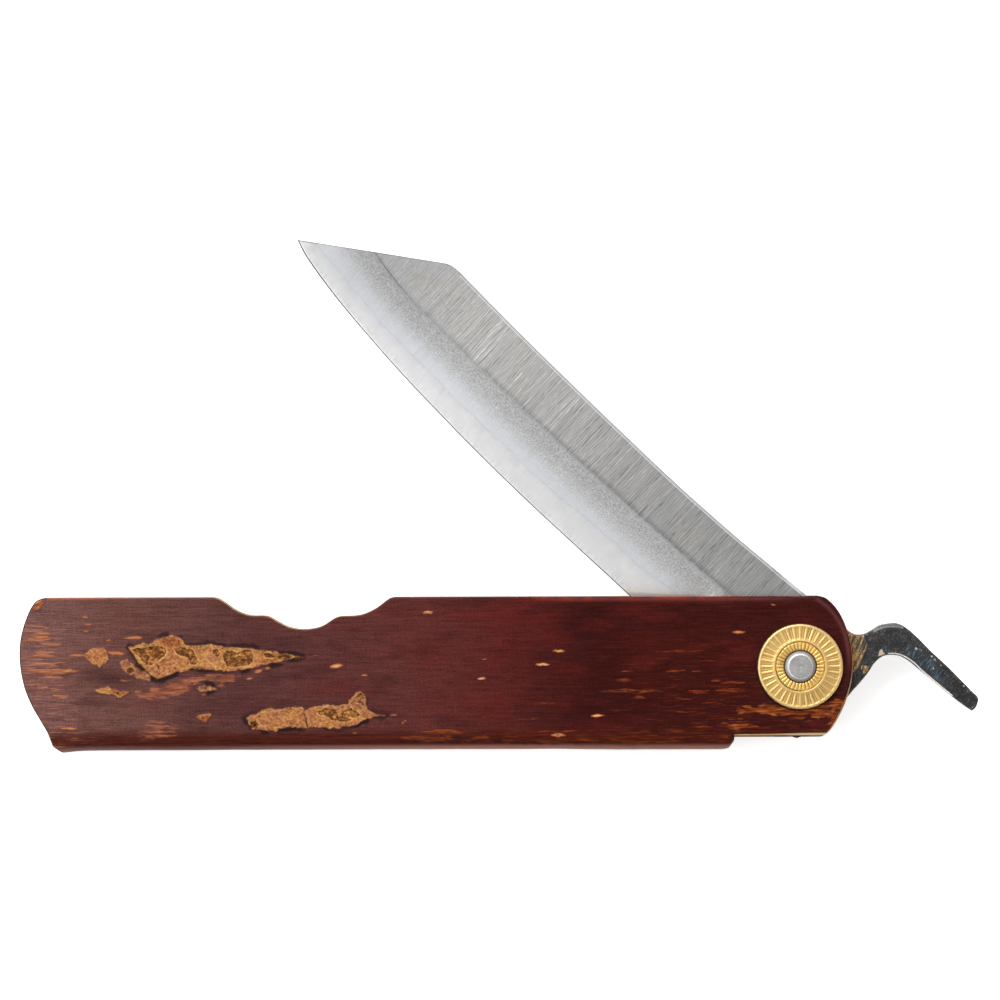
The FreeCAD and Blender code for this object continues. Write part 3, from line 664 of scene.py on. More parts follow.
def build_bark():
    near = [0, .04, .09, .15, .22, .31, .42, .56]

    def steps(a, b, n):
        return list(np.linspace(a, b, n + 1)[1:])

    def x_mid(frac):
        return frac

    # columns as nominal x on the middle row; the fold stops at column jf
    xl0, xr0 = float(x_left(np.array([0.0]))[0]), float(x_right(np.array([0.0]))[0])
    xlf, xrf = float(x_left(np.array([FOLD_Y]))[0]), float(x_right(np.array([FOLD_Y]))[0])
    frac_f = (FOLD_X - xlf) / (xrf - xlf)
    xf0 = xl0 + frac_f * (xr0 - xl0)
    cols = [xl0 + d for d in near]
    cols += steps(cols[-1], -94.0, 23)
    cols += steps(-94.0, -50.0, 316)
    cols += steps(-50.0, xf0, 170)
    jf = len(cols) - 1
    cols += steps(xf0, xr0 - near[-1], 47)
    cols += [xr0 - d for d in near[::-1][1:]]
    xi = (np.array(cols) - xl0) / (xr0 - xl0)
    C = len(xi) - 1
    h = TOP - FOLD_Y
    rows = [d for d in near] + steps(near[-1], h - near[-1], 112) + [h - d for d in near[::-1][1:]]
    eta = np.array(rows) / h
    R = len(eta) - 1
    assert C % 6 == 0 and R % 6 == 0 and jf % 6 == 0, (C, R, jf)

    X = np.tile(xl0 + xi * (xr0 - xl0), (R + 1, 1))
    Y = np.zeros_like(X)
    for _ in range(8):
        lo = y_low(X)
        Y = lo + eta[:, None] * (y_top(X) - lo)
        a = x_left(Y.ravel()).reshape(Y.shape)
        b = x_right(Y.ravel()).reshape(Y.shape)
        X = a + xi[None, :] * (b - a)

    slope = np.clip((y_top(X + .02) - y_top(X - .02)) / .04, -4, 4)
    d_top = (y_top(X) - Y) / np.sqrt(1 + slope ** 2)
    yy = Y.ravel()
    sl = (x_left(yy + .02) - x_left(yy - .02)).reshape(Y.shape) / .04
    sr = (x_right(yy + .02) - x_right(yy - .02)).reshape(Y.shape) / .04
    d_left = (X - a) / np.sqrt(1 + np.clip(sl, -4, 4) ** 2)
    d_right = (b - X) / np.sqrt(1 + np.clip(sr, -4, 4) ** 2)
    d_low = np.where(X > FOLD_X - 0.02, np.hypot(np.maximum(Y - y_low(X), 0), 0), 9.0)
    d_edge = np.minimum(np.minimum(d_top, d_left), np.minimum(d_right, d_low))

    def round_drop(d, r=0.24):
        d = np.clip(d, 0, r)
        return r - np.sqrt(np.maximum(r * r - (r - d) ** 2, 0))

    verts, flat, attr = [], [], {k: [] for k in PAINT + ("rim", "side", "edge_sheen")}
    count = [0]

    def store(x, y, z, s, f, rim, side, edge_sheen=None):
        n = x.size
        idx = np.arange(count[0], count[0] + n).reshape(x.shape)
        count[0] += n
        verts.append(np.stack([x.ravel(), y.ravel(), z.ravel() + MID_Z], 1))
        flat.append(np.stack([x.ravel(), s.ravel(), np.full(n, 0.0)], 1))
        f = blank(n) if f is None else f
        for k in PAINT:
            attr[k].append(f[k])
        attr["rim"].append(rim.ravel() if rim is not None else np.zeros(n))
        attr["side"].append(np.full(n, side))
        attr["edge_sheen"].append(edge_sheen.ravel() if edge_sheen is not None else np.zeros(n))
        return idx

    # front face
    px, py = to_grid(X.ravel(), Y.ravel())
    f = front_features(px, py)
    free = sstep(5.3, 6.6, np.hypot(X, Y)).ravel() * sstep(0.0, 0.5, d_edge).ravel()
    disp = (f["disp"] + skin_waves(X.ravel(), Y.ravel())) * free
    # painted light along the edges: a red glow along the upper edge where light shines through the cut bark, a bright
    # bare corner at the left end, and a painted highlight on the rounded right edge
    rim_w = (0.95 * sstep(-37, -31, X) * sstep(2.0, -9.0, X) + 0.85 * sstep(-98.5, -97, X) * sstep(-84, -91, X) + 0.15)
    rim_w = rim_w * np.clip(0.72 + 0.75 * vnoise(X * .45, X * 0 + 3.1, 71) + 0.4 * vnoise(X * 1.7, X * 0 + 5.1, 72), 0.12 + 0.36 * sstep(-37, -31, X), 1.1)
    rim = rim_w * np.exp(-np.maximum(d_top - .03, 0) / (0.09 + 0.19 * sstep(-37, -31, X) * sstep(1, -7, X)))
    rim = np.maximum(rim, 0.45 * np.exp(-d_right / 0.22) * sstep(8.6, 6.0, Y))
    # painted highlight: a mauve sheen just inside the rounded right edge and along the upper edge of the right part
    edge_sheen = np.exp(-((d_right - 0.42 - 0.40 * sstep(4.0, 8.0, Y)) / 0.24) ** 2) * sstep(-4.6, -1.0, Y) * (0.25 + 0.75 * sstep(-0.8, 2.4, Y))
    edge_sheen = np.maximum(edge_sheen, 0.8 * np.exp(-((d_top - 0.36) / 0.22) ** 2) * sstep(-36, -29, X) * sstep(3.0, -5.0, X))
    f["dark"] = np.maximum(f["dark"], 1.0 * np.exp(-(d_left.ravel() / 0.19) ** 2))
    # painted shadow of the front washer on the bark at its lower left, and painted shade along the right edge just
    # right of and below it
    rad = np.hypot(X, Y)
    lower_left = np.clip(0.25 - 0.55 * (X + Y) / np.maximum(rad, 1.0), 0, 1)
    painted_shade = 0.95 * lower_left * np.exp(-(np.maximum(rad - 5.5, 0) / 0.42) ** 2)
    painted_shade = np.maximum(painted_shade, 0.62 * sstep(1.7, 0.3, d_right) * sstep(1.6, -1.2, Y) * sstep(-4.9, -3.7, Y))
    f["dark"] = np.maximum(f["dark"], painted_shade.ravel())
    OF = store(X, Y, FACE - round_drop(d_edge) + disp.reshape(X.shape), Y, f, rim, 0, edge_sheen)

    # back face, coarser
    Xb, Yb = X[::3, ::3], Y[::3, ::3]
    pxb, pyb = to_grid(Xb.ravel(), Yb.ravel())
    fb = back_features(pxb, pyb)
    db = d_edge[::3, ::3]
    freeb = sstep(5.3, 6.6, np.hypot(Xb, Yb)).ravel() * sstep(0.0, 0.6, db).ravel()
    dispb = (fb["disp"] + skin_waves(Xb.ravel() + 400, Yb.ravel())) * freeb
    s_back = FOLD_Y - (math.pi * FOLD_R + 2 * (FACE - FOLD_R)) - (Yb - FOLD_Y)
    OB = store(Xb, Yb, -(FACE - round_drop(db) + dispb.reshape(Xb.shape)), s_back, fb, np.zeros(Xb.shape), 1)

    # fold round the back, front half fine and back half coarse
    fold_y = np.array([-10.53, -10.50, -10.32, -9.87, -9.07, -8.73])
    fold_x = np.array([-9.46, -9.20, -8.93, -8.66, -8.47, -8.46])
    bulge_x = np.array([-97.0, -96.0, -95.46, -94.95, -94.4, -93.6, -92.6, -91.4])
    bulge_d = np.array([0.0, 0.05, 0.14, 0.25, 0.22, 0.13, 0.05, 0.0])

    def fold_row(kind, t, grid_xi, r_in=0.0, outer=True):
        """One line of the fold: kind 0 front arc, 1 flat, 2 back arc; t from 0 to 1."""
        rad = FOLD_R - r_in
        if kind == 0:
            ang = t * math.pi / 2
            y0, z0 = FOLD_Y - rad * math.sin(ang), FACE - FOLD_R + rad * math.cos(ang)
            ny, nz, s = -math.sin(ang), math.cos(ang), FOLD_R * ang
        elif kind == 1:
            y0, z0 = FOLD_Y - rad, (FACE - FOLD_R) * (1 - 2 * t)
            ny, nz, s = -1.0, 0.0, FOLD_R * math.pi / 2 + 2 * t * (FACE - FOLD_R)
        else:
            ang = t * math.pi / 2
            y0, z0 = FOLD_Y - rad * math.cos(ang), -(FACE - FOLD_R) - rad * math.sin(ang)
            ny, nz, s = -math.cos(ang), -math.sin(ang), FOLD_R * math.pi / 2 + 2 * (FACE - FOLD_R) + FOLD_R * ang
        y_out = FOLD_Y - (FOLD_Y - y0) * FOLD_R / rad
        xa = float(x_left(np.array([max(y_out, -10.53)]))[0])
        xb = float(hermite(fold_y, fold_x, np.array([max(y_out, -10.53)]))[0])
        g = grid_xi / grid_xi[-1]
        x = xa + g * (xb - xa)
        y, z = np.full_like(x, y0), np.full_like(x, z0)
        sv = np.full_like(x, FOLD_Y - s)
        ff = None
        if outer:
            px, py = to_grid(x, y)
            if kind == 0:
                ff = front_features(px, py)
            else:
                ff = blank(len(x))
                rr = np.random.default_rng(77)
                for _ in range(60):
                    c = rr.uniform(-95, -12)
                    w, o = rr.uniform(2, 7), rr.uniform(-14.5, -9.0)
                    ff["streak"] = np.maximum(ff["streak"], rr.uniform(.3, .9) * np.exp(-((x - c) / w) ** 4 - ((sv - o) / .22) ** 2))
            ends = np.minimum(x - xa, xb - x)
            calm = sstep(-10.5, -14.5, x)
            bump = hermite(bulge_x, bulge_d, x) * (x > -97) * (x < -91.4) * (-ny)
            lift = ((ff["disp"] * 0.7 + skin_waves(x, sv)) * calm * sstep(0, .5, ends) - round_drop(ends, 0.22) + bump
                    + (0.07 + 0.05 * sstep(-72, -80, x) + 0.10 * sstep(-34, -20, x)) * (-ny) * sstep(0, .6, ends))
            y, z = y + ny * lift, z + nz * lift
            ff["dark"] = np.maximum(ff["dark"], 0.6 * np.exp(-((x - xa) / .16) ** 2))
        return x, y, z, sv, ff

    xif = xi[:jf + 1]
    fine, coarse, inner_fold = [OF[0, :jf + 1]], [], []
    for k in range(1, 10):
        x, y, z, sv, ff = fold_row(0, k / 9, xif)
        fine.append(store(x, y, z, sv, ff, None, 0))
    plan = [(1, t) for t in (1 / 3, 2 / 3, 1.0)] + [(2, t) for t in (.2, .4, .6, .8)]
    for kind, t in plan:
        x, y, z, sv, ff = fold_row(kind, t, xif[::3])
        coarse.append(store(x, y, z, sv, ff, None, 0))
    coarse.append(OB[0, :jf // 3 + 1])

    # inner faces against the brass
    Xi, Yi = X[::6, ::6], Y[::6, ::6]
    IF = store(Xi, Yi, np.full(Xi.shape, FACE - BARK_T), Yi, None, None, 0)
    IB = store(Xi, Yi, np.full(Xi.shape, -(FACE - BARK_T)), Yi, None, None, 0)
    steps_in = [(0, k / 9) for k in range(1, 10)] + plan
    inner_fold = [IF[0, :jf // 6 + 1]]
    for kind, t in steps_in:
        x, y, z, sv, ff = fold_row(kind, t, xif[::6], BARK_T, False)
        inner_fold.append(store(x, y, z, sv, None, None, 0))
    inner_fold.append(IB[0, :jf // 6 + 1])

    faces = []

    def grid(g):
        for a0, b0 in zip(g[:-1], g[1:]):
            for j in range(len(a0) - 1):
                faces.append((int(a0[j]), int(a0[j + 1]), int(b0[j + 1]), int(b0[j])))

    def strip(A, B):
        k = (len(A) - 1) // (len(B) - 1)
        assert k * (len(B) - 1) == len(A) - 1
        for i in range(len(B) - 1):
            faces.append(tuple(int(q) for q in A[i * k:(i + 1) * k + 1]) + (int(B[i + 1]), int(B[i])))

    grid(OF)
    grid(fine)
    strip(fine[-1], coarse[0])
    grid(coarse)
    grid(OB)
    grid(IF)
    grid(IB)
    grid(inner_fold)
    strip(OF[R], IF[-1])
    strip(OF[:, 0], IF[:, 0])
    strip(OF[:, C], IF[:, -1])
    strip(OF[0, jf:], IF[0, jf // 6:])
    strip(OB[-1], IB[-1])
    strip(OB[:, 0], IB[:, 0])
    strip(OB[:, -1], IB[:, -1])
    strip(OB[0, jf // 3:], IB[0, jf // 6:])
    outer_fold = fine + coarse
    for col_o, col_f, col_i in ((0, 0, 0), (jf // 3, jf, jf // 6)):
        A = [r[col_f] for r in fine] + [r[col_o] for r in coarse]
        B = [r[col_i] for r in inner_fold]
        strip(A, B)

    at = {k: np.concatenate(v) for k, v in attr.items()}
    at["flat"] = np.concatenate(flat)
    n_out = len(at["scar"])

    edge_ids = np.zeros(n_out, bool)
    for arr in (OF[R], OF[:, 0], OF[:, C], OF[0, jf:], OB[-1], OB[:, 0], OB[:, -1], OB[0, jf // 3:],
                IF[-1], IF[:, 0], IF[:, -1], IB[-1], IB[:, 0], IB[:, -1]):
        edge_ids[arr] = True
    return new_object("bark_skin", np.concatenate(verts), faces, at,
                      sharp=lambda p, q: edge_ids[p] & edge_ids[q])


# ------------------------------------------------------------------ forging

BA = math.radians(136.7)
CA, SA = math.cos(BA), math.sin(BA)


def uv(u, v):
    return (u * CA + v * SA, u * SA - v * CA)


def to_uv(x, y):
    return x * CA + y * SA, x * SA - y * CA


EDGE = [(16, -8.37), (20, -8.36), (25.08, -8.38), (29.64, -8.43), (34.2, -8.48), (38.73, -8.50), (43.21, -8.46),
        (47.62, -8.37), (51.97, -8.22), (56.25, -8.01), (60.52, -7.78), (64.7, -7.47), (68.78, -7.07),
        (72.82, -6.63), (76.75, -6.09), (80.54, -5.41), (83.0, -4.83), (84.79, -4.17)]
SPINE = [(5.2, 7.28), (7.82, 7.09), (12.62, 6.82), (17.41, 6.55), (22.08, 6.40), (26.72, 6.29), (31.25, 6.27),
         (35.69, 6.31), (40.21, 6.35), (44.61, 6.42), (49.05, 6.50), (53.46, 6.60), (57.8, 6.74), (62.14, 6.90),
         (66.6, 7.10)]
CORNER = [(66.6, 7.10), (67.75, 7.02), (68.60, 6.73)]
HEEL = [(16, -8.37), (14.2, -8.55), (12.0, -8.80), (8.0, -8.86), (3.0, -8.86), (-1.0, -8.55), (-4.0, -7.97),
        (-6.09, -7.04)]
LEVER_LOW = [uv(-6.09, -7.04), (2.30, -8.35), (4.30, -6.45), (5.70, -4.62), (6.72, -3.33), (7.75, -2.20),
             (8.78, -0.93), (9.81, 0.53), (10.84, 1.27), (11.87, 1.39), (12.90, 1.25), (13.93, 0.72),
             (15.46, -0.52), (17.51, -2.22), (19.57, -3.92), (21.62, -5.46), (22.20, -5.84)]
LEVER_TIP = [(22.20, -5.84), (22.68, -5.40), (22.93, -4.80), (23.01, -4.28), (22.86, -3.95), (22.45, -3.56)]
LEVER_TOP = [(22.45, -3.56), (21.11, -2.20), (19.06, -0.12), (17.01, 1.79), (14.96, 3.85), (13.94, 4.74),
             (12.91, 5.36), (12.50, 5.47), (11.57, 5.43), (10.34, 5.18), (9.31, 4.55), (8.28, 4.06),
             (7.25, 4.06), (6.78, 4.24), (6.30, 4.56), (5.80, 4.98), (5.10, 5.40), (3.60, 6.32), (1.90, 7.74), uv(5.2, 7.28)]


def ridge(u):
    return 0.0006 * (u - 47.0) ** 2 + 0.0112 * np.maximum(np.asarray(u, float) - 67.0, 0.0) ** 2


def edge_v(u):
    a = np.array(EDGE)
    return hermite(a[:, 0], a[:, 1], np.clip(u, 16, 84.79))


def weld_v(u):
    """Lamination line: hard steel below, soft iron above."""
    u = np.asarray(u, float)
    depth = hermite([16, 20, 28, 36, 44, 52, 60, 70, 78, 84], [4.3, 4.0, 3.65, 3.4, 3.05, 3.05, 2.75, 2.5, 2.3, 2.1], u)
    wave = 0.10 * np.sin(u * .42 + 1.0) + 0.06 * np.sin(u * .97 + .4) + 0.03 * np.sin(u * 2.3) + 0.015 * np.sin(u * 5.1 + 2)
    return edge_v(u) + depth + wave * sstep(16, 19, u) * sstep(84, 79, u)


def build_forging():
    parts, tags = [], []

    def push(pts, tag):
        parts.append(np.asarray(pts)[:-1])
        tags.extend([tag] * (len(pts) - 1))

    push(through([uv(*p) for p in EDGE], 0.30), "edge")
    a, b = np.array(uv(84.79, -4.17)), np.array(uv(68.60, 6.73))
    push(a + (b - a) * np.linspace(0, 1, 61)[:, None], "clip")
    push(through([uv(*p) for p in CORNER[::-1]], 0.16), "corner")
    push(through([uv(*p) for p in SPINE[::-1]], 0.35), "spine")
    push(through(LEVER_TOP[::-1], 0.20), "lever_top")
    push(through(LEVER_TIP[::-1], 0.14), "lever_tip")
    push(through(LEVER_LOW[::-1], 0.20), "lever_low")
    push(through([uv(*p) for p in HEEL[::-1]], 0.30), "heel")
    loop = np.concatenate(parts)
    tags = np.array(tags)
    n_loop = len(loop)
    lu, lv = to_uv(loop[:, 0], loop[:, 1])

    pts = [tuple(p) for p in loop]
    edges = [(i, (i + 1) % n_loop) for i in range(n_loop)]

    def nearest(u, v, tag):
        k = np.nonzero(tags == tag)[0]
        return int(k[np.argmin((lu[k] - u) ** 2 + (lv[k] - v) ** 2)])

    def constrain(uvs, first=None, last=None):
        ids = [] if first is None else [first]
        for u, v in uvs:
            ids.append(len(pts))
            pts.append(uv(u, v))
        if last is not None:
            ids.append(last)
        edges.extend(zip(ids[:-1], ids[1:]))
        return [pts[i] for i in ids]

    # ridge between flat and bevel
    us = np.arange(75.75, 13.2, -0.5)
    ridge_line = constrain([(u, float(ridge(u))) for u in us], first=nearest(76.2, 1.45, "clip"))
    # lamination line, closed on the heel end of the edge
    us = np.arange(82.0, 16.0, -0.22)
    wv = weld_v(us)
    weld_pts = [(float(u), float(v)) for u, v in zip(us, wv)] + [(16.0, float(weld_v(np.array([16.0]))[0]))]
    weld_first = nearest(82.5, -2.85, "clip")
    weld_line = constrain(weld_pts + [(16.0, -5.6), (16.0, -7.0)], first=weld_first, last=0)
    # spine chamfer
    sp = np.array(SPINE)
    us = np.arange(66.8, 5.9, -0.45)
    sv = hermite(sp[:, 0], sp[:, 1], us) - 0.30 * sstep(68.4, 66.6, us)
    chamfer_line = constrain([(float(u), float(v)) for u, v in zip(us, sv)], first=nearest(68.0, 6.93, "corner"))
    # pivot hole
    t = np.linspace(0, 2 * math.pi, 41)[:-1]
    h0 = len(pts)
    pts.extend([(1.55 * math.cos(q), 1.55 * math.sin(q)) for q in t])
    edges.extend([(h0 + i, h0 + (i + 1) % 40) for i in range(40)])

    fixed = len(pts)
    # free points
    free = []
    gu, gv = np.meshgrid(np.arange(4.0, 84.5, .62), np.arange(-8.9, 7.4, .55))
    gu = gu + .31 * (np.arange(gu.shape[0]) % 2)[:, None]
    bx, by = uv(gu.ravel(), gv.ravel())
    free.append(np.stack([bx, by], 1))
    gx, gy = np.meshgrid(np.arange(3.6, 23.2, .23), np.arange(-9.0, 8.0, .20))
    gx = gx + .115 * (np.arange(gx.shape[0]) % 2)[:, None]
    lx, ly = gx.ravel(), gy.ravel()
    keep = to_uv(lx, ly)[0] < 3.4
    free.append(np.stack([lx[keep], ly[keep]], 1))
    gx, gy = np.meshgrid(np.arange(-16.0, 3.5, .8), np.arange(-10.0, 9.0, .7))
    tx, ty = gx.ravel(), gy.ravel()
    keep = to_uv(tx, ty)[0] < 3.4
    free.append(np.stack([tx[keep], ty[keep]], 1))
    free = np.concatenate(free)
    ok = inside(free[:, 0], free[:, 1], loop) & (line_dist(free[:, 0], free[:, 1], loop, True) > 0.45)
    ok &= np.hypot(free[:, 0], free[:, 1]) > 1.9
    for ln in (ridge_line, weld_line, chamfer_line):
        ok &= line_dist(free[:, 0], free[:, 1], ln) > 0.16
    free = free[ok]
    # rings just inside the lever's outline, for its rounded arrises
    tang = np.roll(loop, -1, 0) - np.roll(loop, 1, 0)
    nrm = np.stack([-tang[:, 1], tang[:, 0]], 1) / np.hypot(*tang.T)[:, None]
    probe = loop + nrm * 0.05
    if inside(probe[:, 0], probe[:, 1], loop).mean() < 0.5:
        nrm = -nrm
    sel = np.isin(tags, ["lever_top", "lever_tip", "lever_low", "heel"])
    rings = []
    for off in (0.05, 0.12, 0.21, 0.32, 0.45):
        p = loop[sel] + nrm[sel] * off
        d = line_dist(p[:, 0], p[:, 1], loop, True)
        rings.append(p[(d > off * .93) & inside(p[:, 0], p[:, 1], loop)])
    free = np.concatenate([free] + rings)
    pts.extend([tuple(p) for p in free])

    vs, es, fs, ov, oe, of_ = delaunay_2d_cdt([Vector(p) for p in pts], edges, [], 1, 1e-6)
    P = np.array([(p.x, p.y) for p in vs])
    src = np.array([o[0] if o else -1 for o in ov])
    T = np.array([list(q) for q in fs if len(q) == 3], int)
    cen = P[T].mean(1)
    T = T[np.hypot(cen[:, 0], cen[:, 1]) > 1.52]
    area = np.cross(P[T[:, 1]] - P[T[:, 0]], P[T[:, 2]] - P[T[:, 0]])
    T[area < 0] = T[area < 0][:, ::-1]
    T = T[np.abs(area) > 1e-9]

    x, y = P[:, 0], P[:, 1]
    u, v = to_uv(x, y)
    d_out = line_dist(x, y, loop, True)
    on_loop = (src >= 0) & (src < n_loop)
    d_out[on_loop] = 0.0

    # half thickness
    ve, vr = edge_v(u), ridge(u)
    tb = np.clip((vr - v) / (vr - ve), 0, 1)
    bevel = BLADE_H * (1 - tb) + 0.04 * tb + 0.06 * 4 * tb * (1 - tb)
    bevel = BLADE_H + (bevel - BLADE_H) * sstep(13.0, 15.4, u)
    sv_all = hermite(sp[:, 0], sp[:, 1], np.clip(u, 5.2, 66.6))
    d_sp = np.where(u > 66.6, 9.0, sv_all - v)
    d_sp = np.where(u > 5.3, d_sp, 9.0)
    cham = np.clip(0.30 - d_sp, 0, .3) * 0.30 * sstep(5.4, 7.0, u)
    d_tipcorner = line_dist(x, y, [uv(*p) for p in CORNER])
    blade_z = np.minimum(bevel, BLADE_H - cham)

    w_lever = 1 - sstep(8.0, 13.0, u)
    r = 0.34
    dd = np.clip(d_out, 0, r)
    drop = r - np.sqrt(np.maximum(r * r - (r - dd) ** 2, 0))
    hook_line = np.array([from_grid(*p) for p in ((874.5, 630.2), (879.0, 627.5), (884, 626.0), (890, 625.2), (897, 625.0), (902.0, 626.4))])
    inner_line = np.array([from_grid(*p) for p in ((884, 655.0), (890, 654.4), (897, 653.6), (903, 655.2), (909, 658.6),
                                                   (917, 664.6), (927, 673.0), (937, 681.6), (948, 691.4), (958, 699.6))])
    d_hook, d_inner = line_dist(x, y, hook_line), line_dist(x, y, inner_line)
    facet = np.clip(1 - d_hook / 0.34, 0, 1)
    gx_, gy_ = to_grid(x, y)
    lo_b = 0.11 * sstep(926, 914, gx_)
    on_low = sstep(886.5, 890, gx_) * sstep(957, 950, gx_) * (d_inner < 0.9)
    strip = on_low * np.clip(1 - np.abs(d_out - lo_b - 0.10) / 0.14, 0, 1)
    drop = np.maximum(drop, 0.16 * facet ** 0.9)
    forge_n = 0.030 * fbm(x * .55, y * .55, 301, 2) + 0.018 * fbm(x * 1.9, y * 1.9, 307, 2)
    pits = np.clip(vnoise(x * 1.6, y * 1.6, 311) - 0.55, 0, 1) * 0.10
    taper = 0.10 * sstep(15, 23, x) * (u < 2)
    lever_z = BLADE_H - (drop + taper + (np.maximum(0, 0.03 - forge_n) + pits) * sstep(6.9, 7.6, np.hypot(x, y)) * sstep(0, .4, d_out)) * w_lever
    z = np.minimum(blade_z, lever_z)

    # masks for the finish
    px, py = to_grid(x, y)

    def blob(poly, soft=2.0, amp=1.5, seed=0):
        sd = shape_dist(px, py, poly) + amp * vnoise(px * .25, py * .25, 400 + seed)
        return np.clip(0.5 - sd / (2 * soft), 0, 1)

    blue = np.maximum.reduce([
        blob([(883.4, 645.7), (888.8, 645.7), (888.8, 651), (883.4, 651)], 1.5, 1.2, 1),
        blob([(903.9, 650.2), (911, 644.8), (921.8, 647.5), (920.9, 657.3), (914.6, 661.8), (907.5, 654.6)], 2.0, 2.0, 2),
        blob([(917, 656), (925.4, 658), (935.3, 662.6), (940, 671), (947.8, 674.5), (946.4, 681.5), (937.9, 680.6),
              (929.8, 672.6), (919.9, 664.4)], 2.0, 2.0, 3),
        0.9 * blob([(912, 647), (922, 652), (934, 661), (945, 672), (943, 680), (930, 672), (918, 662), (909, 655)], 2.6, 1.6, 8),
        0.5 * blob([(866, 648), (876, 646), (882, 652), (874, 662), (866, 672), (858, 682), (855, 672)], 3.0, 2.5, 4)])
    rub = np.maximum(blob([(846, 628), (853.9, 633.4), (862.9, 634.4), (866.8, 643.9), (865, 652), (862, 660), (858, 668),
                           (852.1, 672), (846, 668)], 2.0, 1.6, 5),
                     0.8 * blob([(861, 665), (866, 664), (868.5, 668), (865.5, 675), (862, 674)], 1.2, 1.0, 6))
    tan = blob([(877.0, 656.6), (879.6, 652.6), (881.2, 648.2), (882.4, 649.6), (883.0, 653.2), (885.2, 653.0), (882.0, 655.4)], 1.0, 0.8, 7)
    wear = np.exp(-(d_out / 0.30) ** 2)
    spec = np.zeros_like(x)
    for sx, sy, sr in ((916.4, 648.4, 1.7), (921.8, 650.6, 1.0), (931.8, 656.2, 1.3), (935.0, 659.4, 1.2), (918.2, 657.6, .9),
                       (941.0, 665.4, 1.1), (953.2, 680.6, 1.0), (964.4, 686.0, 1.4), (971.0, 690.6, 1.2), (927.6, 653.2, .8)):
        spec = np.maximum(spec, np.exp(-((px - sx) ** 2 + (py - sy) ** 2) / sr ** 2))
    forge = 1 - sstep(0.5, 4.0, u + 0.8 * vnoise(x * .8, y * .8, 17))

    data = {"uvm": np.stack([u, v, z], 1), "plan": np.stack([x, y, np.zeros_like(x)], 1), "tb": np.where(v < vr, tb, -0.05) * sstep(13.0, 15.4, u),
            "de": np.where((u > 16), v - ve, 9.0), "lam": np.where(u > 16, v - weld_v(np.clip(u, 16, 84)), 9.0),
            "clipd": np.where(u > 60, line_dist(x, y, [uv(84.79, -4.17), uv(68.60, 6.73), uv(67.75, 7.02)]), 9.0),
            "back": np.where(u > 5.3, d_sp, 9.0), "spec": spec, "forge": forge, "blue": blue, "rub": rub, "bare": strip, "tan": tan,
            "facet": facet, "wear": wear * (u < 4), "cham": np.clip(cham / .02, 0, 1)}

    cu, cv = to_uv(*P[T].mean(1).T)
    is_core = (cu > 16.0) & (cv < weld_v(np.clip(cu, 16, 84)) + 0.0)
    # follow the constrained line exactly: a triangle is core when its corners are on or below it
    weld_ids = np.zeros(len(P), bool)
    for q in weld_line:
        weld_ids |= np.hypot(x - q[0], y - q[1]) < 1e-5
    ridge_ids = np.zeros(len(P), bool)
    for q in ridge_line:
        ridge_ids |= np.hypot(x - q[0], y - q[1]) < 1e-5
    cham_ids = np.zeros(len(P), bool)
    for q in chamfer_line:
        cham_ids |= np.hypot(x - q[0], y - q[1]) < 1e-5
    loop_tag = np.array(["" if not o else tags[s] for o, s in zip(on_loop, np.clip(src, 0, n_loop - 1))])
    crisp = on_loop & np.isin(loop_tag, ["edge", "clip", "corner", "spine"])
    N = len(P)
    out = []
    for name, tri in (("blade_forging", T[~is_core]), ("edge_core", T[is_core])):
        used = np.unique(tri)
        remap = np.full(N, -1)
        remap[used] = np.arange(len(used))
        t = remap[tri]
        n = len(used)
        faces = [tuple(int(i) for i in q) for q in t] + [tuple(int(i) + n for i in q[::-1]) for q in t]
        directed = {}
        for q in t:
            for i in range(3):
                directed[(int(q[i]), int(q[(i + 1) % 3]))] = True
        for (p, q) in directed:
            if (q, p) not in directed:
                faces.append((q, p, p + n, q + n))
        vv = np.concatenate([np.stack([x[used], y[used], MID_Z + z[used]], 1), np.stack([x[used], y[used], MID_Z - z[used]], 1)])
        at = {k: np.concatenate([d[used], d[used]]) for k, d in data.items()}
        at["plan"][:, 2] = 3.0 * (BLADE_H - np.concatenate([z[used], -z[used]]))
        rid, cid, wid, cr = (np.tile(q[used], 2) for q in (ridge_ids, cham_ids, weld_ids, crisp))
        out.append(new_object(name, vv, faces, at,
                              sharp=lambda p, q, rid=rid, cid=cid, wid=wid, cr=cr: (rid[p] & rid[q]) | (cid[p] & cid[q]) | (wid[p] & wid[q]) | (cr[p] & cr[q])))
    return out


# ------------------------------------------------------------------ washers and rivet

FLUTES = 36


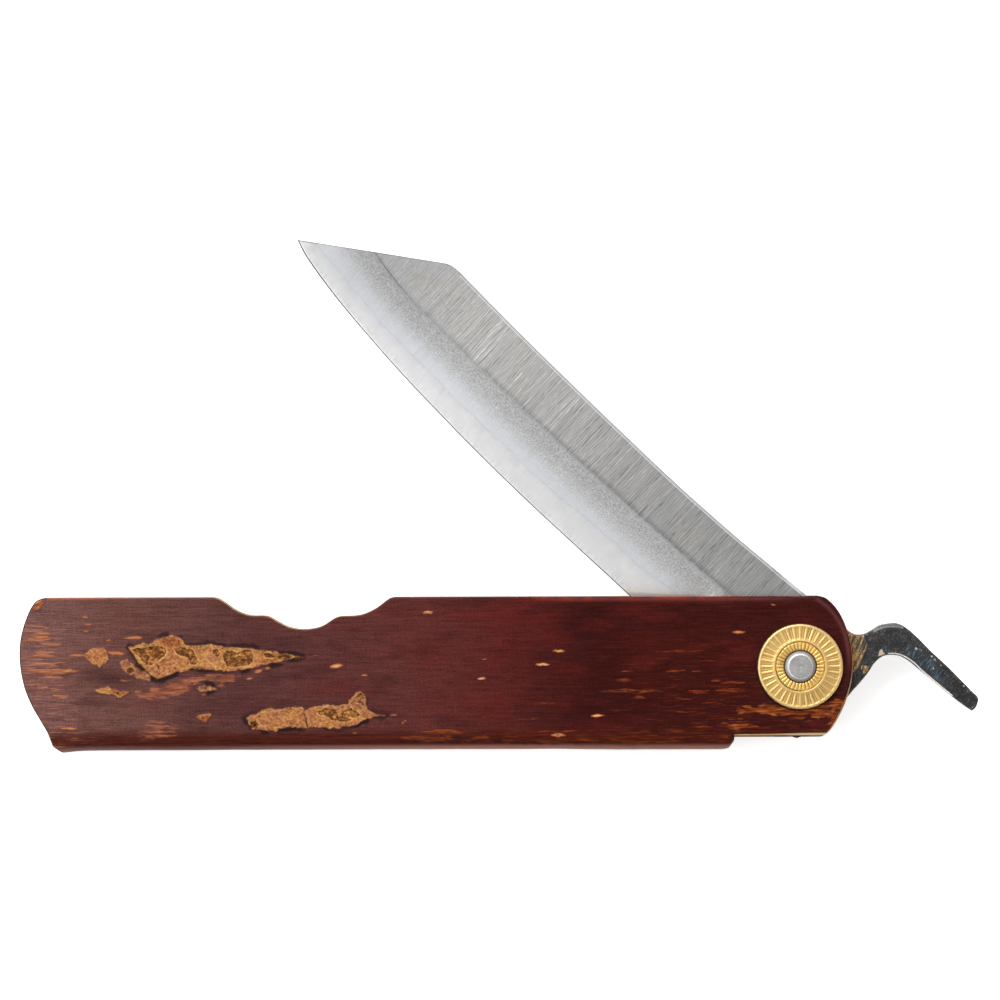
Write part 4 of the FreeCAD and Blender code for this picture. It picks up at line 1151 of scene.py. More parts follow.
def build_washer(name, z0, up):
    per = 16
    n = FLUTES * per
    th = np.arange(n) * 2 * math.pi / n
    ph = (th * FLUTES / (2 * math.pi)) % 1.0
    away = np.minimum(ph, 1 - ph)            # 0 on a ridge, 0.5 in the middle of a panel

    def hatch(c, w):
        return np.exp(-((away - c) / w) ** 2)

    crest = np.exp(-(away / 0.13) ** 2)
    lines = hatch(0.33, .07)
    tooth = np.exp(-((0.5 - away) / 0.17) ** 2)
    gr = 0.85 + 0.3 * vnoise(th * 36 / 6.283, th * 0 + 3.3, 503)
    wob = 0.008 * fbm(np.cos(th) * 1.7 + 5, np.sin(th) * 1.7 + 5, 501, 2)
    # radius, height, panel depth, tooth depth
    st = [(5.42, 0.0, 0, 0), (5.50, 0.08, 0, 0), (5.50, 0.40, 0, 0)]
    for k in range(1, 9):
        a = k / 8 * math.pi / 2
        st.append((5.26 + 0.24 * math.cos(a), 0.40 + 0.36 * math.sin(a), 0, 0))
    st += [(5.20, 0.764, 0, 0), (5.14, 0.764, .006, 0), (5.09, 0.764, .022, 0), (5.03, 0.765, .038, 0), (4.95, 0.768, .048, 0),
           (4.80, 0.774, .054, 0), (4.60, 0.782, .056, 0), (4.40, 0.790, .056, 0), (4.20, 0.798, .056, 0), (4.00, 0.806, .054, 0),
           (3.82, 0.813, .050, 0), (3.68, 0.819, .042, 0), (3.58, 0.823, .028, 0), (3.50, 0.827, .012, 0), (3.44, 0.832, 0, 0),
           (3.37, 0.840, 0, 0), (3.30, 0.842, 0, 0), (3.24, 0.836, 0, 0), (3.20, 0.812, 0, 0), (3.17, 0.76, 0, 0),
           (3.14, 0.715, 0, 0), (3.10, 0.708, 0, 0), (3.07, 0.726, 0, .01), (3.02, 0.742, 0, .03), (2.92, 0.746, 0, .05),
           (2.75, 0.746, 0, .065), (2.56, 0.745, 0, .075), (2.38, 0.742, 0, .085), (2.24, 0.734, 0, .085), (2.14, 0.70, 0, .06),
           (2.08, 0.60, 0, .03), (2.05, 0.50, 0, 0), (1.98, 0.45, 0, 0), (1.55, 0.45, 0, 0), (1.55, 0.0, 0, 0)]
    V, A = [], []
    for r, z, pd, to in st:
        inner = np.clip((r - 3.46) / 0.26, 0, 1)
        bed = pd * (1 - crest) * np.clip(1.25 - 0.9 * (1 - inner) * (1 - 2 * away) ** 2, 0, 1)
        zz = z - bed * gr - 0.35 * pd * lines * gr - to * gr * tooth + wob * (z > .5)
        rr = np.full(n, r) + (1.0 * wob if 5.2 < r and z > .3 else 0)
        V.append(np.stack([rr * np.cos(th), rr * np.sin(th), z0 + up * zz], 1))
        on = min(pd / .045, 1.0)
        A.append(np.stack([np.full(n, r), on * (1 - crest), np.clip(on * lines * gr + to * 13.0 * tooth * gr, 0, 1), on * crest], 1))
    m = len(st)
    idx = np.arange(m * n).reshape(m, n)
    faces = []
    for i in range(m):
        a, b = idx[i], idx[(i + 1) % m]
        a2, b2 = np.roll(a, -1), np.roll(b, -1)
        faces += list(zip(a.tolist(), a2.tolist(), b2.tolist(), b.tolist()))
    A = np.concatenate(A)
    return new_object(name, np.concatenate(V), faces, {"ring": A[:, 0], "bed": A[:, 1], "dip": A[:, 2], "crest": A[:, 3]})


def build_rivet():
    n = 96
    th = np.arange(n) * 2 * math.pi / n
    face_z, mid = FACE, MID_Z
    head = [(0.10, 1.165), (0.20, 1.178), (0.35, 1.186), (0.6, 1.192), (0.9, 1.196), (1.15, 1.199), (1.34, 1.200), (1.43, 1.197),
            (1.50, 1.184), (1.56, 1.162), (1.62, 1.134), (1.68, 1.100), (1.75, 1.050), (1.82, 0.984), (1.89, 0.900), (1.95, 0.812),
            (2.00, 0.726), (2.03, 0.64), (2.035, 0.57), (2.01, 0.50), (1.94, 0.478)]
    rings = [(r, mid + face_z + z) for r, z in head]
    rings += [(1.50, mid + face_z + 0.45), (1.50, mid - face_z - 0.45)]
    rings += [(r, mid - face_z - z) for r, z in head[::-1]]
    V = []
    for k, (r, z) in enumerate(rings):
        top = 1 if z > mid else -1
        x, y = r * np.cos(th), r * np.sin(th)
        dent = (0.016 * fbm(x * 1.5 + 9 * top, y * 1.5, 601, 2) - 0.03 * np.clip(vnoise(x * 2.1 + 3 * top, y * 2.1, 607) - .35, 0, 1))
        on = 1.0 if abs(z - mid) > face_z + .7 else 0.0
        lob = 1 + (0.010 * vnoise(np.cos(th) * 2 + 4, np.sin(th) * 2 + 4 * top, 611) if 1.6 < r else 0)
        V.append(np.stack([x * lob, y * lob, z + top * on * dent], 1))
    m = len(rings)
    idx = np.arange(m * n).reshape(m, n)
    faces = []
    for i in range(m - 1):
        a, b = idx[i], idx[i + 1]
        faces += list(zip(a.tolist(), np.roll(a, -1).tolist(), np.roll(b, -1).tolist(), b.tolist()))
    V = np.concatenate(V)
    V = np.vstack([V, [(0, 0, mid + face_z + 1.150), (0, 0, mid - face_z - 1.150)]])
    c0, c1 = m * n, m * n + 1
    a, b = idx[0], idx[-1]
    faces += [(c0, int(p), int(q)) for p, q in zip(a, np.roll(a, -1))]
    faces += [(c1, int(q), int(p)) for p, q in zip(b, np.roll(b, -1))]
    return new_object("rivet_peened", V, faces, {"rad": np.hypot(V[:, 0], V[:, 1])})


# ------------------------------------------------------------------ materials


def bark_material():
    m = Mat("cherry_bark_waxed")
    flat = m.attr("flat", True)
    sep = m.t.nodes.new("ShaderNodeSeparateXYZ")
    m.put(sep.inputs[0], flat)
    along = m.span(sep.outputs[0], -101.0, 7.0, smooth=False)
    # painted reflection: the paler mauve at the left end stands for a broad light reflected there; further right the
    # deep red-brown is the bark's own colour
    base = m.ramp(along, [(0.02, lin(108, 74, 70)), (0.12, lin(97, 63, 57)), (0.27, lin(82, 48, 46)), (0.48, lin(84, 41, 38)),
                          (0.58, lin(78, 30, 27)), (0.68, lin(51, 15, 13)), (0.82, lin(56, 16, 12)), (0.98, lin(56, 18, 16))])
    # cloudy changes of tone
    wide = m.noise(m.scaled(flat, .12, .26), 1.0, 3, .5)
    tone = m.attr("tone")
    redder = m.math("MAXIMUM", m.mul(m.span(wide, .50, .68), m.span(along, .30, .62, .10, .38)), tone)
    base = m.mix(m.math("MINIMUM", m.math("MAXIMUM", redder, 0.0), .85), base, lin(94, 28, 25))
    cloud = m.mul(m.span(m.noise(m.scaled(flat, .16, .34, 1, 40), 1.0, 2, .5), .52, .70), 0.35)
    darker = m.math("MAXIMUM", cloud, m.mul(tone, -.75))
    base = m.mix(m.math("MINIMUM", m.math("MAXIMUM", darker, 0.0), .8), base, lin(46, 20, 20))
    # lengthwise grain and faint cross ticks
    g1 = m.noise(m.scaled(flat, .16, 2.6), 1.0, 4, .6)
    g2 = m.noise(m.scaled(flat, .55, 4.9, 1, 11), 1.0, 3, .6)
    g3 = m.noise(m.scaled(flat, 6.5, .55, 1, 23), 1.0, 2, .5)
    g4 = m.noise(m.scaled(flat, 5.0, 6.0, 1, 29), 1.0, 2, .6)
    grainy = m.add(m.add(m.mul(g1, .65), m.mul(g2, .50)), m.add(m.mul(g3, .30), m.mul(g4, .90)))
    base = m.shade(base, m.span(grainy, .93, 1.45, .54, 1.46, smooth=False))
    # painted shade: the fold, which turns away from the light, is painted darker and redder
    s = sep.outputs[1]
    fold = m.mul(m.span(s, -7.5, -9.0), m.span(s, -10.5, -9.9))
    base = m.mix(m.mul(fold, .86), base, m.shade(lin(66, 23, 12), m.span(m.add(m.mul(g1, .6), m.mul(g2, .4)), .33, .67, .42, 1.58, smooth=False)))
    # painted highlight: a pale band along the underside of the fold, stronger towards the right
    sheen = m.mul(m.mul(m.span(s, -9.75, -10.5), m.span(s, -12.2, -11.4)), m.span(along, .10, .55, .06, .55))
    base = m.mix(sheen, base, lin(170, 124, 110))
    # painted highlight: mauve sheen near the rounded right and upper edges
    base = m.mix(m.mul(m.attr("edge_sheen"), .42), base, lin(112, 70, 72))
    # thin light fibres where the bark is rubbed
    fn = m.noise(m.scaled(flat, .34, 5.2, 1, 61), 1.0, 3, .6)
    fine = m.noise(m.scaled(flat, .55, 11.0, 1, 67), 1.0, 2, .6)
    dens = m.attr("fibre")
    fib = m.span(m.add(fn, m.mul(dens, .13)), .61, .70)
    fib_col = m.ramp(along, [(.05, lin(162, 106, 80)), (.22, lin(132, 80, 60)), (.55, lin(112, 50, 30)), (.70, lin(112, 42, 18)), (1.0, lin(118, 48, 22))])
    base = m.mix(m.mul(fib, m.span(dens, 0, .9, .10, .72, smooth=False)), base, fib_col)
    thread = m.mul(m.span(fine, .60, .70), m.span(dens, 0, .9, .08, .42, smooth=False))
    base = m.mix(thread, base, fib_col)
    # longer streaks
    sn = m.noise(m.scaled(flat, .60, 8.0, 1, 71), 1.0, 3, .6)
    sn.node.inputs["Distortion"].default_value = .5
    left = m.span(along, .16, .09)
    breakup = m.add(m.mul(m.span(sn, .34, .58, .25, 1.15), m.math("SUBTRACT", 1.0, left)), m.mul(m.span(sn, .30, .60, .66, 1.10), left))
    sv = m.math("MULTIPLY", m.attr("streak"), breakup)
    sk = m.add(m.mul(m.span(sv, .14, .66), m.math("SUBTRACT", 1.0, left)), m.mul(m.span(sv, .28, .50), left))
    streak_hi = m.ramp(along, [(.05, lin(186, 118, 84)), (.25, lin(156, 86, 56)), (.5, lin(160, 78, 34)), (1.0, lin(150, 62, 22))])
    streak_lo = m.ramp(along, [(.05, lin(148, 90, 66)), (.25, lin(118, 62, 42)), (.5, lin(96, 40, 18)), (1.0, lin(88, 28, 11))])
    base = m.mix(m.mul(sk, m.span(s, -8.4, -9.3, .80, .50)), base, m.mix(m.span(sn, .42, .66), streak_lo, streak_hi))
    # ochre fibrous areas
    on = m.noise(m.scaled(flat, .42, 2.6, 1, 83), 1.0, 4, .62)
    on.node.inputs["Distortion"].default_value = .7
    amount = m.attr("ochre")
    och = m.span(m.add(amount, m.mul(m.add(on, -.5), 1.7)), .40, .78)
    och_l = m.ramp(on, [(.30, lin(92, 50, 40)), (.46, lin(124, 70, 50)), (.58, lin(146, 86, 62)), (.74, lin(176, 112, 82))])
    och_r = m.ramp(on, [(.30, lin(54, 18, 9)), (.44, lin(96, 38, 14)), (.56, lin(136, 66, 28)), (.74, lin(184, 112, 60))])
    base = m.mix(m.mul(och, m.span(amount, .3, 1.0, .60, .92)), base, m.mix(m.span(along, .4, .6), och_l, och_r))
    # painted glow along the upper edge where light shines through the bark, a painted highlight on the rounded right
    # edge, and a bright bare corner
    rim = m.math("MULTIPLY", m.attr("rim"), m.span(g1, .30, .62, .55, 1.0), clamp=True)
    rim_col = m.ramp(along, [(.08, lin(186, 98, 58)), (.30, lin(150, 66, 44)), (.55, lin(168, 56, 30)), (.75, lin(162, 54, 28)), (.95, lin(120, 46, 40))])
    base = m.mix(m.mul(rim, .85), base, rim_col)
    # cork scars
    grain = m.noise(m.scaled(flat, 2.7, 3.4, 1, 5), 1.0, 4, .65)
    cell = m.cells(m.scaled(flat, 2.6, 3.2), 1.0)
    swell = m.noise(m.scaled(flat, .85, 1.15, 1, 51), 1.0, 2, .5)
    cg = m.add(m.add(m.mul(grain, .62), m.mul(cell, .22)), m.mul(swell, .24))
    hue = m.attr("hue")
    gold = m.ramp(cg, [(.28, lin(70, 38, 20)), (.40, lin(122, 74, 42)), (.54, lin(162, 104, 66)), (.72, lin(194, 138, 92))])
    yellow = m.ramp(cg, [(.28, lin(80, 46, 20)), (.40, lin(136, 88, 42)), (.54, lin(174, 120, 64)), (.72, lin(206, 156, 90))])
    patchy = m.noise(m.scaled(flat, .50, .70, 1, 33), 1.0, 3, .6)
    gold = m.mix(m.span(patchy, .50, .66), gold, yellow)
    orange = m.ramp(cg, [(.28, lin(66, 32, 18)), (.44, lin(116, 62, 36)), (.56, lin(146, 84, 50)), (.74, lin(178, 116, 72))])
    dull = m.ramp(cg, [(.28, lin(66, 36, 28)), (.44, lin(112, 66, 48)), (.56, lin(140, 88, 64)), (.74, lin(176, 122, 92))])
    cork_col = m.mix(m.span(hue, .1, .8), gold, orange)
    cork_col = m.mix(m.span(hue, -.1, -.8), cork_col, dull)
    brown = m.span(m.noise(m.scaled(flat, .9, 1.2, 1, 37), 1.0, 3, .6), .54, .70)
    cork_col = m.mix(m.mul(brown, .55), cork_col, lin(112, 68, 42))
    dots = m.span(m.noise(m.scaled(flat, 4.4, 5.0, 1, 39), 1.0, 2, .5), .64, .71)
    cork_col = m.mix(m.mul(dots, .80), cork_col, lin(52, 30, 17))
    across = m.span(m.noise(m.scaled(flat, 4.6, .7, 1, 9), 1.0, 2, .5), .52, .70)
    pillar = m.mul(m.span(m.math("ABSOLUTE", m.add(sep.outputs[0], 76.4)), 1.9, .9), across)
    cork_col = m.mix(m.mul(pillar, .45), cork_col, lin(214, 170, 118))
    wob = m.add(m.mul(m.add(grain, -.5), 2.6), m.mul(m.add(g4, -.5), 1.4))
    sd = m.add(m.attr("scar"), wob)
    cork = m.span(sd, .55, -.55)
    base = m.mix(cork, base, cork_col)
    # pale lip round the cork, partly the cork's own colour and partly painted highlight, in patches where lit is high
    lit = m.span(m.noise(m.scaled(flat, .45, .65, 1, 7), 1.0, 2, .5), .50, .64)
    lip = m.mul(m.span(m.math("ABSOLUTE", m.add(sd, 1.2)), 1.0, .25), m.mul(lit, cork))
    base = m.mix(m.mul(lip, .42), base, lin(196, 150, 90))
    pd = m.add(m.attr("pit"), m.mul(wob, .8))
    pit = m.math("MULTIPLY", m.span(pd, .6, -.6), cork)
    pit_lo = m.ramp(cg, [(.30, lin(26, 13, 7)), (.44, lin(60, 33, 16)), (.58, lin(102, 60, 30)), (.72, lin(154, 98, 50))])
    pit_hi = m.ramp(cg, [(.30, lin(66, 36, 15)), (.42, lin(120, 72, 34)), (.56, lin(162, 104, 54)), (.70, lin(204, 148, 78))])
    pit_col = m.mix(m.span(m.noise(m.scaled(flat, .95, 1.2, 1, 47), 1.0, 3, .6), .44, .60), pit_lo, pit_hi)
    base = m.mix(m.mul(pit, .90), base, pit_col)
    # pale pit rims, partly the cork's own colour and partly painted highlight, brighter where lit is high
    pit_rim = m.math("MULTIPLY", m.span(m.math("ABSOLUTE", m.add(pd, -1.05)), .95, .2), cork)
    base = m.mix(m.mul(m.mul(pit_rim, m.span(lit, 0, 1, .30, 1)), .72), base, lin(204, 160, 92))
    # painted shade just inside the pits' edge
    edge_in = m.math("MULTIPLY", m.span(m.math("ABSOLUTE", m.add(pd, .55)), .8, .15), cork)
    base = m.mix(m.mul(edge_in, .55), base, lin(46, 30, 18))
    # lenticels
    ln = m.add(m.attr("lens"), m.mul(m.add(m.noise(m.scaled(flat, 1.3, 6.0, 1, 15), 1.0, 3, .6), -.5), .62))
    lens_col = m.ramp(ln, [(.10, lin(92, 42, 26)), (.32, lin(134, 76, 48)), (.56, lin(168, 106, 70)), (.92, lin(212, 158, 108))])
    lens_r = m.ramp(ln, [(.10, lin(88, 34, 16)), (.32, lin(138, 72, 36)), (.56, lin(176, 104, 54)), (.92, lin(222, 170, 116))])
    base = m.mix(m.span(ln, .08, .40), base, m.mix(m.span(along, .5, .75), lens_col, lens_r))
    # dark outlines (partly painted shadow), cracks, pinholes, and painted shade by the washer and the right edge
    dark = m.span(m.add(m.attr("dark"), m.mul(m.add(g4, -.5), .35)), .22, .95)
    base = m.mix(m.mul(dark, .90), base, m.mix(cork, lin(32, 21, 23), lin(26, 16, 12)))
    m.set(Base_Color=base, Metallic=0.0, IOR=1.48)
    m.bsdf.inputs["Specular IOR Level"].default_value = 0.045
    m.set(Roughness=m.add(m.span(g2, .3, .7, .26, .40, smooth=False), m.mul(m.math("MAXIMUM", cork, m.span(ln, .2, .5)), .38)))
    h = m.add(m.add(m.mul(g1, .7), m.mul(g2, .4)), m.mul(m.math("MULTIPLY", cork, cg), 3.0))
    h = m.add(h, m.add(m.mul(fib, .35), m.mul(sk, .35)))
    m.bump(h, .60, 0.00007)
    return m.m


def iron_material():
    m = Mat("soft_iron_forged")
    uvm = m.attr("uvm", True)
    plan = m.attr("plan", True)
    sep = m.t.nodes.new("ShaderNodeSeparateXYZ")
    m.put(sep.inputs[0], uvm)
    tb = m.attr("tb")
    lam = m.attr("lam")
    # ground flats: lines across the blade
    l1 = m.noise(m.scaled(uvm, 4.9, .10, .3), 1.0, 1, .5)
    l2 = m.noise(m.scaled(uvm, 6.6, .14, .3, 9), 1.0, 1, .5)
    brk = m.span(m.noise(m.scaled(uvm, 4.6, .80, .3, 63), 1.0, 2, .5), .38, .60, .14, 1.0)
    w1 = m.noise(m.scaled(uvm, 1.6, .30, .3, 17), 1.0, 2, .5)
    w2 = m.noise(m.scaled(uvm, 3.1, .45, .3, 27), 1.0, 2, .5)
    comb = m.math("SINE", m.add(m.mul(sep.outputs[0], 19.0), m.mul(m.add(w1, w2), 9.0)))
    lines = m.add(m.add(m.mul(l1, .40), m.mul(l2, .30)), m.add(m.mul(comb, .12), .15))
    away = m.span(sep.outputs[0], 55, 68)
    flat_col = m.ramp(m.span(sep.outputs[0], 5, 76, smooth=False), [(0, lin(156, 156, 155)), (.22, lin(160, 160, 159)), (.33, lin(164, 163, 162)), (.50, lin(175, 174, 172)), (.72, lin(181, 180, 178)), (1, lin(189, 188, 188))])
    patch = m.noise(m.scaled(uvm, .22, .3), 1.0, 2, .5)
    flat_col = m.mix(m.mul(m.span(patch, .5, .7), .25), flat_col, lin(180, 177, 170))
    group = m.span(m.noise(m.scaled(uvm, .35, .30, .3, 19), 1.0, 2, .5), .38, .62, .60, 1.0)
    group = m.mul(group, m.span(away, 0, 1, 1.0, .42, smooth=False))
    flat_col = m.shade(flat_col, m.add(1.0, m.mul(m.mul(m.add(lines, -.5), 2.2), m.mul(group, brk))))
    mott = m.noise(m.scaled(uvm, 3.4, 2.4, 1, 53), 1.0, 3, .65)
    flat_col = m.shade(flat_col, m.add(1.0, m.mul(m.mul(m.add(mott, -.5), .55), m.span(away, 0, 1, .25, 1.0, smooth=False))))
    tint = m.noise(m.scaled(uvm, .8, .6, 1, 57), 1.0, 2, .5)
    flat_col = m.mix(m.mul(m.mul(m.span(tint, .52, .66), away), .30), flat_col, lin(184, 178, 168))
    flat_col = m.mix(m.mul(m.mul(m.span(tint, .48, .36), away), .30), flat_col, lin(172, 177, 182))
    # spine chamfer: painted reflection makes it paler, with a painted highlight along its inner crease and painted
    # shade at the spine's outer edge
    back = m.attr("back")
    flat_col = m.mix(m.mul(m.span(back, .40, .33), .85), flat_col, lin(198, 198, 198))
    flat_col = m.mix(m.mul(m.span(m.math("ABSOLUTE", m.add(back, -.33)), .01, .08, 1, 0), .80), flat_col, lin(240, 240, 239))
    flat_col = m.mix(m.mul(m.span(back, .09, .03), .60), flat_col, lin(152, 152, 152))
    # hazy bevel: dark at the ridge, speckled, paling towards the lamination line
    sp = m.noise(m.scaled(uvm, 5.4, 5.4, 1, 3), 1.0, 2, .6)
    sp2 = m.noise(m.scaled(uvm, 1.1, 1.6, 1, 13), 1.0, 2, .5)
    shift = m.add(tb, m.mul(m.add(sp2, -.5), .16))
    bev_col = m.ramp(shift, [(0.0, lin(170, 170, 170)), (.06, lin(176, 176, 176)), (.22, lin(180, 180, 180)), (.36, lin(194, 194, 195)),
                             (.48, lin(206, 208, 211)), (.60, lin(213, 214, 218)), (1, lin(224, 224, 226))])
    amt = m.ramp(tb, [(0, (.2, .2, .2, 1)), (.10, (1, 1, 1, 1)), (.34, (.8, .8, .8, 1)), (.52, (.15, .15, .15, 1)), (.65, (.05, .05, .05, 1))])
    bev_col = m.shade(bev_col, m.add(1.0, m.mul(m.mul(m.add(sp, -.5), 1.7), amt)))
    weldline = m.span(m.math("ABSOLUTE", m.add(lam, -.06)), .02, .20, 1, 0)
    bev_col = m.mix(m.mul(weldline, .14), bev_col, lin(170, 175, 186))
    bl = m.noise(m.scaled(uvm, 6.0, .30, .3, 31), 1.0, 2, .6)
    bev_col = m.shade(bev_col, m.span(bl, .3, .7, .96, 1.04, smooth=False))
    is_bev = m.span(tb, .001, .012)
    steel = m.mix(is_bev, flat_col, bev_col)
    # soft dark band on both sides of the ridge
    vr = m.math("SUBTRACT", sep.outputs[1], m.mul(m.math("POWER", m.add(sep.outputs[0], -47.0), 2.0), .0006))
    vr = m.math("SUBTRACT", vr, m.mul(m.math("POWER", m.math("MAXIMUM", m.add(sep.outputs[0], -67.0), 0.0), 2.0), .0112))
    near = m.span(m.math("ABSOLUTE", m.add(m.add(vr, -.06), m.mul(m.add(sp2, -.5), .16))), .04, .60, 1, 0)
    fade = m.span(sep.outputs[0], 24, 70, 1, .42)
    broken = m.span(m.noise(m.scaled(uvm, 2.4, 3.0, 1, 43), 1.0, 3, .6), .36, .60, .42, 1)
    steel = m.mix(m.mul(m.mul(m.mul(near, broken), fade), .52), steel, lin(122, 122, 123))
    fine_ridge = m.mul(m.span(m.math("ABSOLUTE", vr), .03, .11, 1, 0), m.span(sep.outputs[0], 68, 72, .15, .75))
    steel = m.mix(m.mul(fine_ridge, m.span(sep.outputs[0], 78, 74)), steel, lin(112, 112, 114))
    steel = m.shade(steel, m.span(sep.outputs[0], 56, 80, 1.0, .76))
    # painted shade: a dark line along the clip edge
    steel = m.mix(m.mul(m.span(m.attr("clipd"), .16, .05), .75), steel, lin(128, 126, 127))
    # forge scale on the tang and lever
    c1 = m.noise(m.scaled(plan, .9, .9), 1.0, 4, .65)
    c2 = m.noise(m.scaled(plan, 4.4, 4.4, 1, 5), 1.0, 3, .65)
    mixn = m.add(m.mul(c1, .36), m.mul(c2, .64))
    scale_col = m.ramp(mixn, [(.36, lin(7, 7, 8)), (.46, lin(21, 21, 22)), (.54, lin(42, 41, 42)), (.65, lin(92, 89, 88))])
    brown = m.span(m.noise(m.scaled(plan, 1.4, 1.4, 1, 51), 1.0, 3, .6), .56, .68)
    scale_col = m.mix(m.mul(brown, .35), scale_col, lin(84, 60, 52))
    blue = m.span(m.add(m.attr("blue"), m.mul(m.add(c2, -.5), .9)), .36, .76)
    stroke = m.noise(m.turned(plan, math.radians(52), 1.1, 3.4), 1.0, 3, .6)
    blue_col = m.ramp(stroke, [(.36, lin(18, 25, 31)), (.50, lin(36, 48, 57)), (.66, lin(76, 94, 106))])
    scale_col = m.mix(m.mul(blue, .85), scale_col, blue_col)
    # brass rubbed off on the tang
    rn = m.noise(m.turned(plan, math.radians(69), .46, 4.2), 1.0, 3, .55)
    rn2 = m.noise(m.scaled(plan, 3.0, 3.0, 1, 21), 1.0, 2, .6)
    rubbed = m.span(m.add(m.attr("rub"), m.mul(m.add(rn, -.5), .9)), .36, .62)
    scale_col = m.mix(m.mul(rubbed, m.span(rn, .38, .50, .10, .55)), scale_col, lin(120, 94, 70))
    rub = m.mul(m.span(rn, .46, .57), rubbed)
    rub_col = m.ramp(rn2, [(.35, lin(126, 96, 60)), (.52, lin(186, 148, 96)), (.70, lin(226, 194, 140))])
    scale_col = m.mix(m.mul(rub, .92), scale_col, rub_col)
    tan = m.span(m.add(m.attr("tan"), m.mul(m.add(c2, -.5), .5)), .40, .62)
    scale_col = m.mix(m.mul(tan, .9), scale_col, lin(196, 176, 152))
    # bare metal: specks, worn arris of the arm, hook facet
    sk = m.noise(m.scaled(plan, 3.1, 3.1, 1, 77), 1.0, 2, .6)
    arm = m.t.nodes.new("ShaderNodeSeparateXYZ")
    m.put(arm.inputs[0], plan)
    scale_col = m.shade(scale_col, m.span(arm.outputs[0], 17.0, 21.0, 1.0, .55))
    speck = m.math("MAXIMUM", m.mul(m.span(sk, .69, .73), m.span(arm.outputs[0], 12.5, 15.0)), m.span(m.add(m.attr("spec"), m.mul(m.add(c2, -.5), 1.1)), .42, .66))
    scale_col = m.mix(m.mul(speck, .90), scale_col, lin(198, 198, 196))
    wear = m.mul(m.attr("wear"), m.span(c2, .50, .66))
    scale_col = m.mix(m.mul(wear, .45), scale_col, lin(150, 140, 130))
    fac = m.mul(m.span(m.attr("facet"), .18, .55), m.span(c2, .30, .55, .45, 1))
    scale_col = m.mix(m.mul(fac, .75), scale_col, lin(140, 140, 141))
    bare = m.span(m.add(m.attr("bare"), m.mul(m.add(c2, -.5), .35)), .28, .60)
    scale_col = m.mix(bare, scale_col, lin(238, 234, 230))
    forge = m.attr("forge")
    col = m.mix(forge, steel, scale_col)
    m.set(Base_Color=col)
    shiny = m.math("MAXIMUM", m.math("MAXIMUM", bare, m.mul(rub, .9)), m.math("MAXIMUM", speck, fac))
    black = m.math("SUBTRACT", forge, m.math("MULTIPLY", shiny, forge), clamp=True)
    m.set(Metallic=m.span(black, 0, 1, 1.0, .20, smooth=False))
    rough_s = m.add(m.span(lines, .3, .7, .34, .48, smooth=False), m.mul(is_bev, .06))
    rough_f = m.span(c2, .3, .7, .40, .66, smooth=False)
    m.set(Roughness=m.add(m.mul(rough_s, m.math("SUBTRACT", 1.0, forge)), m.mul(rough_f, forge)))
    hgt = m.add(m.mul(m.mul(lines, 1.0), m.math("SUBTRACT", 1.0, is_bev)), m.mul(m.mul(m.add(c2, c1), forge), 4.0))
    m.bump(hgt, .35, 0.00003)
    return m.m


def core_material():
    m = Mat("edge_steel_honed")
    uvm = m.attr("uvm", True)
    de = m.attr("de")
    lam = m.attr("lam")
    sep = m.t.nodes.new("ShaderNodeSeparateXYZ")
    m.put(sep.inputs[0], uvm)
    col = m.ramp(m.span(de, 0.0, 4.0, smooth=False), [(0, lin(243, 243, 243)), (.3, lin(240, 240, 240)), (.7, lin(234, 234, 234)), (1, lin(226, 227, 230))])
    soft = m.mul(m.span(lam, -1.4, .05), m.span(sep.outputs[0], 46, 66, .12, .80))
    col = m.mix(soft, col, lin(228, 229, 233))
    # painted shade: darker towards the tip, which would otherwise show too bright a reflection
    col = m.shade(col, m.mul(m.span(sep.outputs[0], 56, 80, 1.0, .80), m.span(sep.outputs[0], 77, 84, 1.0, .94)))
    haze = m.noise(m.scaled(uvm, .5, .7), 1.0, 3, .5)
    col = m.shade(col, m.span(haze, .3, .7, .97, 1.03, smooth=False))
    ln = m.noise(m.scaled(uvm, 7.0, .45, .3, 3), 1.0, 2, .6)
    near = m.span(de, .9, .1)
    streaky = m.noise(m.scaled(uvm, 9.0, .8, .3, 27), 1.0, 1, .5)
    col = m.shade(col, m.add(1.0, m.mul(m.mul(m.add(ln, -.5), .34), m.add(near, .30))))
    col = m.shade(col, m.add(1.0, m.mul(m.mul(m.add(streaky, -.5), .58), m.span(de, 1.7, .3))))
    weldline = m.span(m.math("ABSOLUTE", m.add(lam, .04)), .02, .22, 1, 0)
    dots = m.span(m.noise(m.scaled(uvm, 1.6, 1.6, 1, 9), 1.0, 2, .5), .38, .62, .3, 1)
    col = m.mix(m.mul(m.mul(weldline, dots), .22), col, lin(176, 181, 190))
    # painted highlight: a white line 0.24 mm in from the edge, on the honed strip
    edge_glint = m.mul(m.span(m.math("ABSOLUTE", m.add(de, -.24)), .04, .12, 1, 0), .6)
    col = m.mix(edge_glint, col, lin(255, 255, 255))
    # painted shade: a dark line along the very edge, wider near the tip, and another along the clip edge
    arris = m.span(m.add(de, m.span(sep.outputs[0], 70, 82, 0, -.05)), .10, .16, 1, 0)
    col = m.mix(m.mul(arris, .88), col, lin(70, 70, 70))
    col = m.mix(m.mul(m.span(m.attr("clipd"), .20, .08), .8), col, lin(118, 116, 117))
    # painted reflection of the dark handle: a little darker and less metallic near the heel
    up = m.add(m.mul(sep.outputs[0], .6858), m.mul(sep.outputs[1], .7278))
    col = m.shade(col, m.span(up, 9.0, 12.6, .92, 1.0))
    m.set(Base_Color=col, Metallic=m.span(up, 9.0, 12.6, .80, 1.0))
    m.set(Roughness=m.span(ln, .3, .7, .30, .40, smooth=False))
    m.bump(ln, .25, 0.00002)
    return m.m


